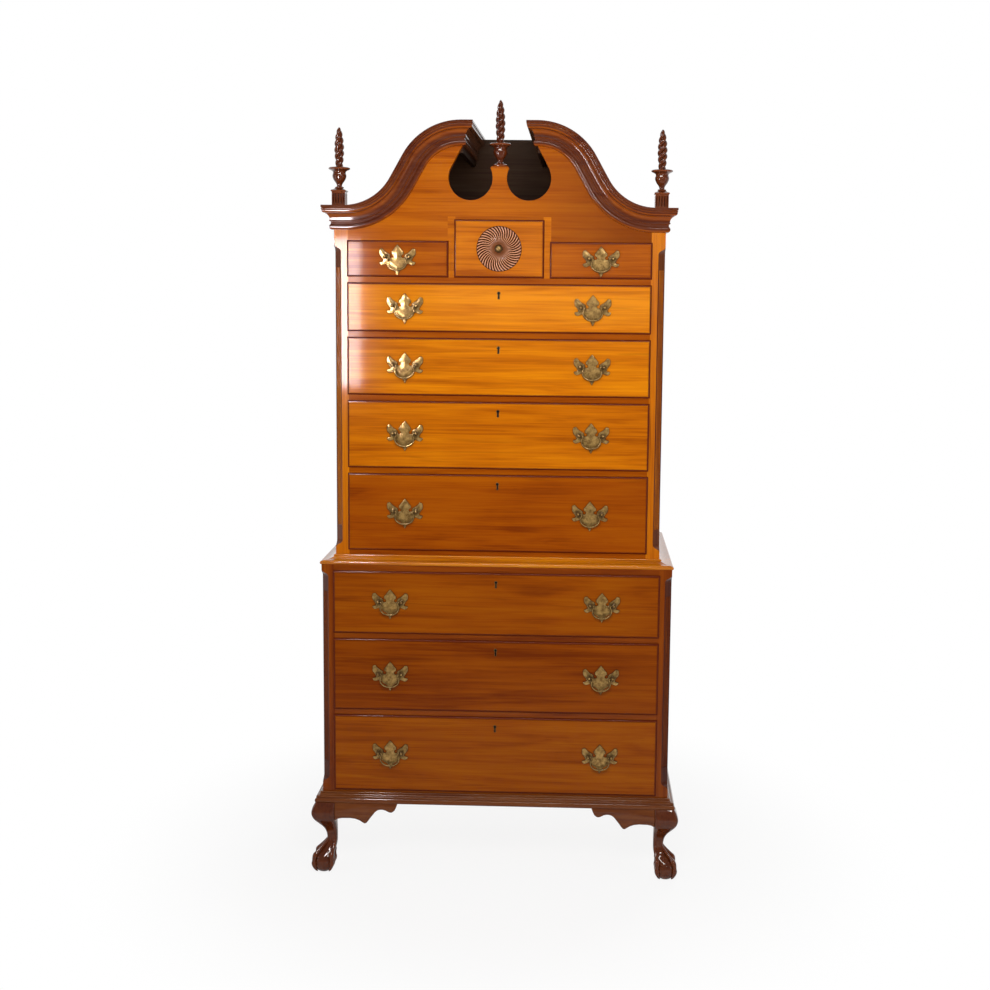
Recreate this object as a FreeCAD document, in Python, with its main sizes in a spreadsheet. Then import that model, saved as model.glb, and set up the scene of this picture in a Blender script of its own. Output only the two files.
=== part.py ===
import FreeCAD, Part
import math
import os

import Sketcher
from FreeCAD import Matrix, Placement, Rotation, Vector

# Highboy: a bonnet-top chest on chest with ten drawers.
#
# Frame: millimetres, +Z up, the fronts of the drawers face -Y and +X is to the right of someone who
# faces them.  The origin is on the floor, at the middle of the space that the whole piece takes up.
# "Face" is the plane of the drawer openings: the upper case has one, and the lower case's stands
# forward of it by the setback, which is also how far the lower case is wider at each side.

# ---------------------------------------------------------------------------------------------
# Driving dimensions
# ---------------------------------------------------------------------------------------------

SIZES = [
    ("upper_width", 946, "upper case over its sides"),
    ("upper_depth", 496, "upper case, face to back"),
    ("setback", 36, "lower case beyond the upper one, at the front and at each side"),
    ("foot_height", 215, "floor to the underside of the case and of the base moulding"),
    ("side_board", 20, "thickness of the case sides"),
    ("back_board", 12, "thickness of the back boards"),
    ("case_board", 20, "thickness of the tops and bottoms of the cases"),
    ("post", 27, "square of the corner posts"),
    ("chamfer_leg", 20, "how much of each face of a post the chamfer takes"),
    ("lower_chamfer_low", 53, "underside of the lower case to where its posts' chamfers begin"),
    ("lower_chamfer_high", 18, "end of those chamfers to the top of the lower case"),
    ("upper_chamfer_low", 38, "underside of the upper case to where its posts' chamfers begin"),
    ("upper_chamfer_high", 38, "end of those chamfers to the crown moulding"),
    ("lambs_tongue", 24, "length of the bend that ends a chamfer"),
    ("flute_margin", 66, "end of a chamfer to the ends of its flutes"),
    ("flute_radius", 1.9, "radius of a flute on a post"),
    ("upper_stile", 13, "strip between a post and the upper drawers"),
    ("lower_stile", 10.5, "strip between a post and the lower drawers"),
    ("reveal", 16, "rail that shows between two drawer lips"),
    ("lip_overlap", 3, "drawer lip over its rail"),
    ("rail_depth", 70, "rails and dividers, front to back"),
    ("lower_bottom_rail", 39, "underside of the lower case to its lowest opening"),
    ("lower_opening_one", 223, "height of the lowest opening"),
    ("lower_opening_two", 207, "height of the next opening up"),
    ("lower_opening_three", 179, "height of the top opening of the lower case"),
    ("lower_top_rail", 24, "rail over the lower drawers"),
    ("upper_bottom_rail", 37, "underside of the upper case to its lowest opening"),
    ("upper_opening_one", 221, "height of the lowest long opening of the upper case"),
    ("upper_opening_two", 190, "height of the second long opening"),
    ("upper_opening_three", 161, "height of the third long opening"),
    ("upper_opening_four", 134, "height of the top long opening"),
    ("corner_opening", 98, "height of the two small openings"),
    ("centre_opening", 159, "height of the carved drawer's opening"),
    ("centre_width", 251, "width of the carved drawer's opening"),
    ("divider_rise", 11, "dividers above the carved drawer's opening"),
    ("top_board", 16, "thickness of the board over the drawers"),
    ("crown_margin", 31, "small openings to the underside of the crown moulding"),
    ("crown_height", 69, "crown moulding, across its run"),
    ("crown_reach", 32, "crown moulding, out from the case"),
    ("scroll_rise", 239, "rise of the swan neck"),
    ("scroll_high_radius", 121, "round bend of the swan neck's underside"),
    ("gap_half", 107, "centre line to the inner wall of the bonnet"),
    ("tympanum_board", 22, "thickness of the scroll board"),
    ("roof_board", 10, "thickness of the bonnet's boards"),
    ("eye_radius", 63, "round cut-outs of the scroll board"),
    ("eye_offset", 83, "centre line to the middle of a cut-out"),
    ("eye_drop", 89, "top of the swan neck's underside to the middle of a cut-out"),
    ("neck_rise", 32, "middle of a cut-out to the top of the neck"),
    ("neck_half", 22.7, "half the width of the neck's top"),
    ("waist_height", 24, "waist moulding"),
    ("waist_lap", 4, "waist moulding over the lower case"),
    ("base_height", 30, "base moulding"),
    ("base_reach", 21, "base moulding, out from the lower case"),
    ("knee_reach", 11, "knees beyond the base moulding"),
    ("foot_inset", 38, "side of the lower case to the inner line of a leg"),
    ("ankle", 30, "thickness of a leg at its ankle"),
    ("ball", 66, "diameter of a foot's ball"),
    ("bracket_length", 185, "knee bracket along the moulding"),
    ("bracket_board", 20, "thickness of the knee brackets"),
    ("front_board", 20, "thickness of a drawer front"),
    ("lip_proud", 8, "drawer front before the face"),
    ("lip_step", 1.2, "field of a drawer front before its rounded edge"),
    ("lip_round", 5.5, "rounding of a drawer front's edge"),
    ("field_inset", 6, "edge of a drawer front to its field"),
    ("drawer_side", 12, "thickness of drawer sides and backs"),
    ("drawer_bottom", 9, "thickness of drawer bottoms"),
    ("bottom_rise", 6, "drawer bottom above the lower edge of the sides"),
    ("behind_drawer", 17, "back of a closed drawer to the back boards"),
    ("side_play", 1.5, "drawer to its opening, at each side"),
    ("top_play", 5, "drawer to its opening, above"),
    ("seat_play", 0.3, "running clearance of what slides, and bores round their shanks"),
    ("runner_width", 35, "drawer runners"),
    ("guide_height", 15, "guides that keep a drawer straight"),
    ("plate_width", 104, "bat-wing plate"),
    ("plate_board", 1.6, "thickness of a bat-wing plate"),
    ("post_spacing", 68, "between the two posts of a pull"),
    ("pull_reach", 13, "plate to the bail's pivot"),
    ("bail_drop", 37, "pivot to the bottom of the bail"),
    ("bail_wire", 4.6, "thickness of the bail"),
    ("bail_pin", 2.8, "thickness of the bail's pivots"),
    ("pin_play", 0.1, "pivots in their eyes and shanks in their nuts, all round"),
    ("knob_width", 24, "brass knob of the carved drawer"),
    ("pull_edge", 167, "side of a long drawer to the middle of a pull"),
    ("pull_rise", 5, "posts above the middle of a drawer"),
    ("key_drop", 33, "top of a long drawer's lip to the middle of its keyhole"),
    ("rosette_radius", 64.5, "carved pinwheel"),
    ("rosette_depth", 4, "hollow of the pinwheel"),
    ("rosette_blades", 42, "blades of the pinwheel"),
    ("plinth", 38, "square of a side plinth"),
    ("plinth_out", 6, "outer side of a plinth beyond the case"),
    ("plinth_height", 39, "side plinth without its cap"),
    ("plinth_cap", 12, "height of the plinth's cap"),
    ("finial_height", 170, "a side finial, plinth cap to tip"),
    ("centre_finial_height", 187.5, "the middle finial, neck to tip"),
    ("rim_radius", 31, "lip of a finial's cup"),
]

doc = FreeCAD.newDocument("Highboy")
sheet = doc.addObject("Spreadsheet::Sheet", "Sizes")
for row, (alias, number, meaning) in enumerate(SIZES, start=1):
    sheet.set(f"A{row}", meaning)
    sheet.set(f"B{row}", str(number))
    sheet.setAlias(f"B{row}", alias)
doc.recompute()


class Dim:
    """A length that carries its number and the spreadsheet expression that gives it."""

    def __init__(self, number, text):
        self.number = float(number)
        self.text = text

    def __float__(self):
        return self.number

    def __add__(self, other):
        other = dim(other)
        return Dim(self.number + other.number, f"({self.text} + {other.text})")

    def __sub__(self, other):
        other = dim(other)
        return Dim(self.number - other.number, f"({self.text} - {other.text})")

    def __mul__(self, other):
        other = dim(other)
        return Dim(self.number * other.number, f"{self.text} * {other.text}")

    def __truediv__(self, other):
        other = dim(other)
        return Dim(self.number / other.number, f"{self.text} / {other.text}")

    def __neg__(self):
        return Dim(-self.number, f"(0 - {self.text})")

    __radd__ = __add__

    def __rsub__(self, other):
        return dim(other) - self

    __rmul__ = __mul__


def dim(number):
    """The number as a Dim, or the Dim itself."""
    return number if isinstance(number, Dim) else Dim(number, f"({float(number)})")


class Sizes:
    """The spreadsheet's cells by alias, each as a Dim."""

    def __getattr__(self, alias):
        return Dim(sheet.get(alias), "Sizes." + alias)


S = Sizes()

# ---------------------------------------------------------------------------------------------
# Levels and widths that follow from them
# ---------------------------------------------------------------------------------------------

rail = S.reveal + S.lip_overlap * 2
upper_half = S.upper_width / 2
lower_half = upper_half + S.setback
upper_opening_half = upper_half - S.post - S.upper_stile
lower_opening_half = lower_half - S.post - S.lower_stile

front_reach = S.setback + S.base_reach + S.knee_reach
face_upper = (front_reach - S.upper_depth) / 2
face_lower = face_upper - S.setback
back = face_upper + S.upper_depth
back_inner = back - S.back_board

case_bottom = S.foot_height


def stack(start, openings):
    """(bottom, top) of each opening, from the bottom up, with a rail between two of them."""
    levels = []
    bottom = start
    for opening in openings:
        levels.append((bottom, bottom + opening))
        bottom = bottom + opening + rail
    return levels


lower_openings = stack(
    case_bottom + S.lower_bottom_rail,
    (S.lower_opening_one, S.lower_opening_two, S.lower_opening_three),
)
waist = lower_openings[-1][1] + S.lower_top_rail
upper_openings = stack(
    waist + S.upper_bottom_rail,
    (S.upper_opening_one, S.upper_opening_two, S.upper_opening_three, S.upper_opening_four),
)
top_row = upper_openings[-1][1] + rail
corner_top = top_row + S.corner_opening
centre_top = top_row + S.centre_opening
centre_half = S.centre_width / 2
divider_outer = centre_half + rail
crown_bottom = corner_top + S.crown_margin
scroll_top = crown_bottom + S.scroll_rise
roof_under = S.crown_height - S.roof_board
eye_level = scroll_top - S.eye_drop
neck_top = eye_level + S.neck_rise

# ---------------------------------------------------------------------------------------------
# Helpers
# ---------------------------------------------------------------------------------------------

NODES = {}


def node(name, *pieces):
    """Names what becomes one file: a piece, or several pieces of one kind as a group."""
    if len(pieces) == 1:
        whole = pieces[0]
    else:
        whole = doc.addObject("Part::Compound", name)
        whole.Links = list(pieces)
    whole.Label = name
    NODES[name] = whole
    return whole


def place(thing, x, y, z):
    """Binds a piece's place to the sheet."""
    for axis, where in zip("xyz", (x, y, z)):
        thing.setExpression("Placement.Base." + axis, dim(where).text)
    return thing


def board(name, low, span):
    """A plain board: low is its lowest corner, span its width, depth and height."""
    box = doc.addObject("Part::Box", name)
    for side, length in zip(("Length", "Width", "Height"), span):
        box.setExpression(side, dim(length).text)
    return place(box, *low)


def side_span(side, inner, outer):
    """The lowest x and the width of what lies between two distances from the centre line."""
    low = inner if side > 0 else -outer
    return low, outer - inner


def word(side):
    return "right" if side > 0 else "left"


SIDES = (-1, 1)


def origin_plane(body, role):
    """One of a body's own origin planes, by its role."""
    return next(f for f in body.Origin.OriginFeatures if f.Role == role)


def new_body(name):
    return doc.addObject("PartDesign::Body", name)


def sketch_on(body, role, name, lift=None):
    """A sketch on one of the body's origin planes, lifted along the plane's normal."""
    sketch = body.newObject("Sketcher::SketchObject", name)
    sketch.AttachmentSupport = [(origin_plane(body, role), "")]
    sketch.MapMode = "FlatFace"
    if lift is not None:
        sketch.setExpression("AttachmentOffset.Base.z", dim(lift).text)
    return sketch


def join_ends(sketch, first, starts):
    """Ties each edge of a closed outline to the next one.

    A sketch keeps its arcs anticlockwise, so starts says which end of each edge comes first."""
    for step, start in enumerate(starts):
        after = (step + 1) % len(starts)
        ends = (first + step, 3 - start, first + after, starts[after])
        sketch.addConstraint(Sketcher.Constraint("Coincident", *ends))


def rectangle(sketch, low_x, high_x, low_y, high_y):
    """A rectangle whose four sides are set from the sheet."""
    xs = (float(low_x), float(high_x))
    ys = (float(low_y), float(high_y))
    corners = [Vector(xs[i], ys[j], 0) for i, j in ((0, 0), (1, 0), (1, 1), (0, 1))]
    first = sketch.GeometryCount
    for k in range(4):
        sketch.addGeometry(Part.LineSegment(corners[k], corners[(k + 1) % 4]), False)
    join_ends(sketch, first, [1] * 4)
    for k, kind in enumerate(("Horizontal", "Vertical", "Horizontal", "Vertical")):
        sketch.addConstraint(Sketcher.Constraint(kind, first + k))
    for kind, corner, where in (
        ("DistanceX", first, low_x),
        ("DistanceY", first, low_y),
        ("DistanceX", first + 2, high_x),
        ("DistanceY", first + 2, high_y),
    ):
        number = sketch.addConstraint(Sketcher.Constraint(kind, -1, 1, corner, 1, float(where)))
        sketch.setExpression(f"Constraints[{number}]", dim(where).text)


def circle(sketch, x, y, radius):
    """A circle whose middle and radius are set from the sheet."""
    index = sketch.addGeometry(
        Part.Circle(Vector(float(x), float(y), 0), Vector(0, 0, 1), float(radius)), False
    )
    number = sketch.addConstraint(Sketcher.Constraint("Radius", index, float(radius)))
    sketch.setExpression(f"Constraints[{number}]", dim(radius).text)
    for kind, where in (("DistanceX", x), ("DistanceY", y)):
        number = sketch.addConstraint(Sketcher.Constraint(kind, -1, 1, index, 3, float(where)))
        sketch.setExpression(f"Constraints[{number}]", dim(where).text)


class Outline:
    """A closed outline of straight and round stretches, for a sketch or a face."""

    def __init__(self, x, y):
        self.start = self.here = Vector(float(x), float(y), 0)
        self.edges = []

    def line(self, x, y):
        there = Vector(float(x), float(y), 0)
        if there.distanceToPoint(self.here) > 1e-6:
            self.edges.append(Part.LineSegment(self.here, there))
            self.here = there
        return self

    def through(self, middle, end):
        """A round stretch through a middle point."""
        there = Vector(float(end[0]), float(end[1]), 0)
        self.edges.append(Part.Arc(self.here, Vector(float(middle[0]), float(middle[1]), 0), there))
        self.here = there
        return self

    def bulge(self, x, y, height):
        """A round stretch that stands off its chord by a height, to the left if positive."""
        there = Vector(float(x), float(y), 0)
        along = there - self.here
        middle = self.here + along * 0.5 + Vector(-along.y, along.x, 0).normalize() * float(height)
        return self.through((middle.x, middle.y), (x, y))

    def close(self):
        return self.line(self.start.x, self.start.y)

    def into(self, sketch):
        first = sketch.GeometryCount
        starts = []
        for edge in self.edges:
            index = sketch.addGeometry(edge, False)
            begins = sketch.getPoint(index, 1).distanceToPoint(edge.StartPoint) < 1e-6
            starts.append(1 if begins else 2)
        join_ends(sketch, first, starts)

    def wire(self):
        return Part.Wire([edge.toShape() for edge in self.edges])


def pad(body, sketch, length, name, midplane=False, back_way=False):
    feature = body.newObject("PartDesign::Pad", name)
    feature.Profile = sketch
    feature.setExpression("Length", dim(length).text)
    if midplane:
        feature.SideType = "Symmetric"
    feature.Reversed = back_way
    return feature


def pocket(body, sketch, length, name, midplane=False, back_way=False):
    feature = body.newObject("PartDesign::Pocket", name)
    feature.Profile = sketch
    feature.setExpression("Length", dim(length).text)
    if midplane:
        feature.SideType = "Symmetric"
    feature.Reversed = back_way
    return feature


def feature(name, shape):
    """A piece whose form is worked out with Part's own operations."""
    piece = doc.addObject("Part::Feature", name)
    piece.Shape = shape
    return piece


def copy_of(source, name, x, y, z, turn=0):
    """Another one of a piece that has been made, turned about the vertical."""
    link = doc.addObject("App::Link", name)
    link.LinkedObject = source
    link.Placement = Placement(Vector(), Rotation(Vector(0, 0, 1), turn))
    return place(link, x, y, z)


def mirrored(source, name):
    """The left-hand twin of a right-hand piece."""
    twin = doc.addObject("Part::Mirroring", name)
    twin.Source = source
    twin.Normal = Vector(1, 0, 0)
    return twin


def moulding_section(profile, spot, outward, up):
    """The profile (x out from the wall, y up) as a face that stands at a spot."""
    along = outward.cross(up)
    frame = Matrix(
        outward.x, up.x, along.x, spot.x,
        outward.y, up.y, along.y, spot.y,
        outward.z, up.z, along.z, spot.z,
        0, 0, 0, 1,
    )
    return Part.Face(profile.wire().transformShape(frame))


def moulding_run(profile, origin, outward, along, start, end, up=Vector(0, 0, 1)):
    """A straight moulding from start to end: each is a distance along the run and 1 or -1 for a
    45-degree mitre that leans along the run or back, or 0 for a square end."""
    first = start[0] - MITRE_SLACK * abs(start[1])
    last = end[0] + MITRE_SLACK * abs(end[1])
    section = moulding_section(profile, origin + along * first, outward, up)
    run = section.extrude(along * (last - first))
    for (reach, mitre), beyond in ((start, -1), (end, 1)):
        if mitre:
            edge = (outward + along * mitre) * MITRE_SLACK
            spot = origin + along * reach - up * MITRE_SLACK
            away = along * (beyond * 3 * MITRE_SLACK)
            corners = [spot - edge, spot + edge, spot + edge + away, spot - edge + away, spot - edge]
            run = run.cut(Part.Face(Part.makePolygon(corners)).extrude(up * (3 * MITRE_SLACK)))
    return run


MITRE_SLACK = 80.0


def fused(shapes):
    whole = shapes[0].multiFuse(shapes[1:])
    return whole.removeSplitter()


# ---------------------------------------------------------------------------------------------
# Case boards, rails, runners and backs
# ---------------------------------------------------------------------------------------------


class Case:
    """Where one case stands, so that both are boarded in the same way."""

    def __init__(self, name, half, opening_half, face, bottom, top, openings):
        self.name = name
        self.half = half
        self.opening_half = opening_half
        self.face = face
        self.bottom = bottom
        self.top = top
        self.openings = openings
        self.inner_half = half - S.side_board
        self.board_front = face + S.post


lower_case = Case(
    "lower", lower_half, lower_opening_half, face_lower, case_bottom, waist, lower_openings
)
upper_case = Case(
    "upper", upper_half, upper_opening_half, face_upper, waist, crown_bottom + roof_under,
    upper_openings,
)
top_board_bottom = centre_top + S.lip_overlap
board_top = top_board_bottom + S.top_board


def case_side(case, side):
    low, width = side_span(side, case.inner_half, case.half)
    return board(
        f"{case.name}_{word(side)}_side",
        (low, case.board_front, case.bottom),
        (width, back - case.board_front, case.top - case.bottom),
    )


def stile(case, side):
    """The strip between a corner post and the drawers, as thick as the post."""
    low, width = side_span(side, case.opening_half, case.half - S.post)
    return board(
        f"{case.name}_{word(side)}_stile",
        (low, case.face, case.bottom),
        (width, S.post, case.top - case.bottom),
    )


FLUTES = 4
FLUTE_SPACING = 5.0


def corner_post(case, side, stop_bottom, stop_top):
    """A square post, its outer corner taken off between two lamb's tongues and fluted.

    The body's own origin is in the middle of the chamfer, whose outward normal is its -Y."""
    name = f"{case.name}_{word(side)}_post"
    square = float(S.post)
    leg = float(S.chamfer_leg)
    corner = leg / math.sqrt(2)
    bend = float(S.lambs_tongue)
    radius = float(S.flute_radius)
    reach = square / math.sqrt(2)
    low = float(stop_bottom - case.bottom)
    high = float(stop_top - case.bottom)
    body = new_body(name)
    section = sketch_on(body, "XY_Plane", name + "_section")
    diamond = Outline(0, -corner).line(reach, reach - corner).line(0, 2 * reach - corner)
    diamond.line(-reach, reach - corner).close().into(section)
    pad(body, section, case.top - case.bottom, name + "_square")
    chamfer = sketch_on(body, "YZ_Plane", name + "_stops")
    cut = Outline(-corner - 2, low).line(-corner, low)
    cut.bulge(-corner / 2, low + bend / 2, 1.8).bulge(0, low + bend, -1.8)
    cut.line(0, high - bend)
    cut.bulge(-corner / 2, high - bend / 2, -1.8).bulge(-corner, high, 1.8)
    cut.line(-corner - 2, high).close().into(chamfer)
    pocket(body, chamfer, S.post * 2, name + "_chamfer", midplane=True)
    flute = sketch_on(body, "XZ_Plane", name + "_flute")
    first = -(FLUTES - 1) * FLUTE_SPACING / 2
    bottom = low + float(S.flute_margin)
    top = high - float(S.flute_margin)
    edge = first + radius
    round_off = radius * (1 - math.sqrt(0.5))
    half = Outline(first, bottom).through(
        (edge - round_off, bottom + round_off), (edge, bottom + radius)
    )
    half.line(edge, top - radius).through((edge - round_off, top - round_off), (first, top))
    half.close().into(flute)
    flute.addGeometry(Part.LineSegment(Vector(first, bottom, 0), Vector(first, top, 0)), True)
    groove = body.newObject("PartDesign::Groove", name + "_first_flute")
    groove.Profile = flute
    groove.ReferenceAxis = (flute, ["Axis0"])
    groove.Angle = 360
    flutes = body.newObject("PartDesign::LinearPattern", name + "_flutes")
    flutes.Originals = [groove]
    flutes.Direction = (flute, ["H_Axis"])
    flutes.Length = (FLUTES - 1) * FLUTE_SPACING
    flutes.Occurrences = FLUTES
    body.Tip = flutes
    turn = Rotation(Vector(0, 0, 1), 45 if side > 0 else -45)
    body.Placement = Placement(Vector(), turn)
    inset = S.chamfer_leg / 2
    middle = case.half - inset
    place(body, middle if side > 0 else -middle, case.face + inset, case.bottom)
    return body


def long_rails(case, bottom_rail, top_rail):
    """The rails across a case, under, between and over its openings.

    The top rail is given as its depth and height."""
    width = case.opening_half * 2
    rails = [
        board(
            f"{case.name}_bottom_rail",
            (-case.opening_half, case.face, case.bottom),
            (width, S.post, bottom_rail),
        )
    ]
    for number, (low, high) in enumerate(case.openings[:-1], start=1):
        rails.append(
            board(
                f"{case.name}_rail_{number}",
                (-case.opening_half, case.face, high),
                (width, S.rail_depth, rail),
            )
        )
    last_top = case.openings[-1][1]
    depth, height = top_rail
    rails.append(
        board(f"{case.name}_top_rail", (-case.opening_half, case.face, last_top), (width, depth, height))
    )
    return rails


def runners(case, level, number, side):
    """A runner behind a rail, and the guide on it that keeps the drawer straight."""
    low, width = side_span(side, case.inner_half - S.runner_width, case.inner_half)
    start = case.face + S.rail_depth
    name = f"{case.name}_{word(side)}"
    runner = board(f"{name}_runner_{number}", (low, start, level - rail), (width, back_inner - start, rail))
    low, width = side_span(side, case.opening_half, case.inner_half)
    guide = board(
        f"{name}_guide_{number}",
        (low, start, level),
        (width, back_inner - start, S.guide_height),
    )
    return [runner, guide]


def bottom_guides(case, side):
    """The guide on the case's bottom, beside its lowest drawer."""
    low, width = side_span(side, case.opening_half, case.inner_half)
    return board(
        f"{case.name}_{word(side)}_guide_0",
        (low, case.board_front, case.openings[0][0]),
        (width, back_inner - case.board_front, S.guide_height),
    )


def case_floor(case):
    return board(
        f"{case.name}_bottom",
        (-case.inner_half, case.board_front, case.openings[0][0] - S.case_board),
        (case.inner_half * 2, back_inner - case.board_front, S.case_board),
    )


def back_boards(case, top, count):
    """The back of a case: level boards, one above the other."""
    height = (top - case.bottom) / count
    return [
        board(
            f"{case.name}_back_{number + 1}",
            (-case.inner_half, back_inner, case.bottom + height * number),
            (case.inner_half * 2, S.back_board, height),
        )
        for number in range(count)
    ]


LOWER_STOPS = (case_bottom + S.lower_chamfer_low, waist - S.lower_chamfer_high)
UPPER_STOPS = (waist + S.upper_chamfer_low, crown_bottom - S.upper_chamfer_high)

for case, stops in ((lower_case, LOWER_STOPS), (upper_case, UPPER_STOPS)):
    for side in SIDES:
        node(f"{case.name}_{word(side)}_side", case_side(case, side))
    members = [corner_post(case, side, *stops) for side in SIDES]
    members += [stile(case, side) for side in SIDES]
    node(f"{case.name}_corner_posts", *members)

node("lower_back_boards", *back_boards(lower_case, waist, 3))
node("lower_drawer_rails", *long_rails(lower_case, S.lower_bottom_rail, (S.post, S.lower_top_rail)))

lower_top = board(
    "lower_top",
    (-lower_case.inner_half, lower_case.board_front, waist - S.case_board),
    (lower_case.inner_half * 2, back_inner - lower_case.board_front, S.case_board),
)
upper_top = board(
    "upper_top",
    (-upper_case.inner_half, upper_case.board_front, top_board_bottom),
    (upper_case.inner_half * 2, back_inner - upper_case.board_front, S.top_board),
)
node("case_boards", case_floor(lower_case), lower_top, case_floor(upper_case), upper_top)

row_board = board(
    "top_row_board",
    (-upper_case.inner_half, face_upper + S.rail_depth, top_row - rail),
    (upper_case.inner_half * 2, back_inner - face_upper - S.rail_depth, rail),
)
dividers = []
for side in SIDES:
    low, width = side_span(side, centre_half, divider_outer)
    dividers.append(
        board(
            f"{word(side)}_divider",
            (low, face_upper, top_row),
            (width, S.tympanum_board, centre_top + S.divider_rise - top_row),
        )
    )
    dividers.append(
        board(
            f"{word(side)}_partition",
            (low, face_upper + S.tympanum_board, top_row),
            (width, back_inner - face_upper - S.tympanum_board, top_board_bottom - top_row),
        )
    )
node(
    "upper_drawer_rails",
    *long_rails(upper_case, S.upper_bottom_rail, (S.rail_depth, rail)),
    row_board,
    *dividers,
)

bearers = []
for case in (lower_case, upper_case):
    for side in SIDES:
        bearers.append(bottom_guides(case, side))
        for number, (low, high) in enumerate(case.openings[1:], start=1):
            bearers += runners(case, low, number, side)
for side in SIDES:
    low, width = side_span(side, upper_opening_half, upper_case.inner_half)
    bearers.append(
        board(
            f"top_row_{word(side)}_guide",
            (low, face_upper + S.rail_depth, top_row),
            (width, back_inner - face_upper - S.rail_depth, S.guide_height),
        )
    )
node("drawer_runners", *bearers)

# ---------------------------------------------------------------------------------------------
# Base and waist mouldings
# ---------------------------------------------------------------------------------------------

FRONTWARD = Vector(0, -1, 0)
BACKWARD = Vector(0, 1, 0)


def three_sides(name, profile, half, face, level):
    """A moulding round the front and both sides of a case, mitred at the front corners."""
    half = float(half)
    face = float(face)
    depth = float(back) - face
    level = float(level)
    front = moulding_run(
        profile, Vector(0, face, level), FRONTWARD, Vector(1, 0, 0), (-half, -1), (half, 1)
    )
    pieces = [feature(name + "_front", front)]
    for side in SIDES:
        run = moulding_run(
            profile, Vector(side * half, face, level), Vector(side, 0, 0), BACKWARD, (0, -1), (depth, 0)
        )
        pieces.append(feature(f"{name}_{word(side)}", run))
    return pieces


def base_profile():
    """A torus, a fillet, a hollow and two beads, in 21sts of the reach and 30ths of the height."""
    out = float(S.base_reach) / 21
    up = float(S.base_height) / 30
    shape = Outline(0, 0).line(18 * out, 0).through((21 * out, 6.5 * up), (18 * out, 13 * up))
    shape.line(15.5 * out, 13 * up).line(15.5 * out, 14.5 * up)
    shape.through((17.2 * out, 17.5 * up), (15 * out, 20.5 * up)).line(12.5 * out, 20.5 * up)
    shape.through((8.6 * out, 22 * up), (7 * out, 25 * up)).line(6 * out, 25 * up)
    shape.through((7 * out, 27.8 * up), (4.5 * out, 30 * up)).line(0, 30 * up)
    return shape.close()


def waist_profile():
    """A torus, a wide hollow and a bead that lap the lower case, which the moulding stands on.

    They are in fortieths of the reach and twentieths of the height over the lap."""
    lap = float(S.waist_lap)
    deep = float(S.setback)
    out = (deep + lap) / 40
    up = (float(S.waist_height) - lap) / 20
    shape = Outline(0, lap).line(deep, lap).line(deep, 0).line(37 * out, 0)
    shape.through((40 * out, (lap + 6 * up) / 2), (36.6 * out, lap + 6 * up))
    shape.line(33 * out, lap + 6 * up).line(33 * out, lap + 7.5 * up)
    shape.through((17 * out, lap + 8.8 * up), (7 * out, lap + 13 * up))
    shape.line(4.5 * out, lap + 13 * up).line(4.5 * out, lap + 14.5 * up)
    shape.through((6 * out, lap + 17 * up), (3.5 * out, lap + 20 * up)).line(0, lap + 20 * up)
    return shape.close()


node("base_moulding", *three_sides("base_moulding", base_profile(), lower_half, face_lower, case_bottom))
node(
    "waist_moulding",
    *three_sides("waist_moulding", waist_profile(), upper_half, face_upper, waist - S.waist_lap),
)

# ---------------------------------------------------------------------------------------------
# Cabriole legs with ball-and-claw feet, and their knee brackets
# ---------------------------------------------------------------------------------------------


def rounded_square(inner, outer, radius, level):
    """A level square from inner to outer along both axes, its corners rounded."""
    low = inner + radius
    high = outer - radius
    bend = radius * (1 - math.sqrt(0.5))
    shape = Outline(low, inner).line(high, inner)
    shape.through((outer - bend, inner + bend), (outer, low)).line(outer, high)
    shape.through((outer - bend, outer - bend), (high, outer)).line(low, outer)
    shape.through((inner + bend, outer - bend), (inner, high)).line(inner, low)
    shape.through((inner + bend, inner + bend), (low, inner))
    wire = shape.wire()
    wire.translate(Vector(0, 0, level))
    return wire


def leg_shape():
    """A cabriole leg.  Its own origin is on the floor under the corner of the case, and it stands out
    from there towards +X and +Y alike."""
    top = float(S.foot_height)
    inner = -float(S.foot_inset)
    ankle = float(S.ankle)
    flush = float(S.base_reach)
    knee = flush + float(S.knee_reach)
    radius = float(S.ball) / 2
    middle = inner + radius + 3
    centre = radius - 3
    sections = (
        (top, flush - 1, 8),
        (top * 0.935, knee - 3, 10),
        (top * 0.856, knee, 14),
        (top * 0.753, knee - 8, 17),
        (top * 0.637, inner + ankle + 11, 16),
        (top * 0.52, inner + ankle + 1, 0.47 * ankle),
        (top * 0.43, inner + ankle, 0.47 * ankle),
        (top * 0.36, inner + ankle + 4, 0.47 * ankle),
        (centre + radius, inner + ankle + 14, 0.47 * ankle),
    )
    leg = Part.makeLoft(
        [rounded_square(inner, outer, corner, level) for level, outer, corner in sections],
        True,
        False,
    )
    ball = Part.makeSphere(radius, Vector(middle, middle, centre))
    neck = Part.makeCylinder(radius * 0.62, centre * 0.4, Vector(middle, middle, centre + radius * 0.55))
    parts = [leg, ball, neck]
    for quarter in range(4):
        parts += toe(middle, centre, radius, 45 + 90 * quarter)
    span = knee + 4 * radius
    room = Part.makeBox(2 * span, 2 * span, top, Vector(-span, -span, 0))
    return fused(parts).common(room)


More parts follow.
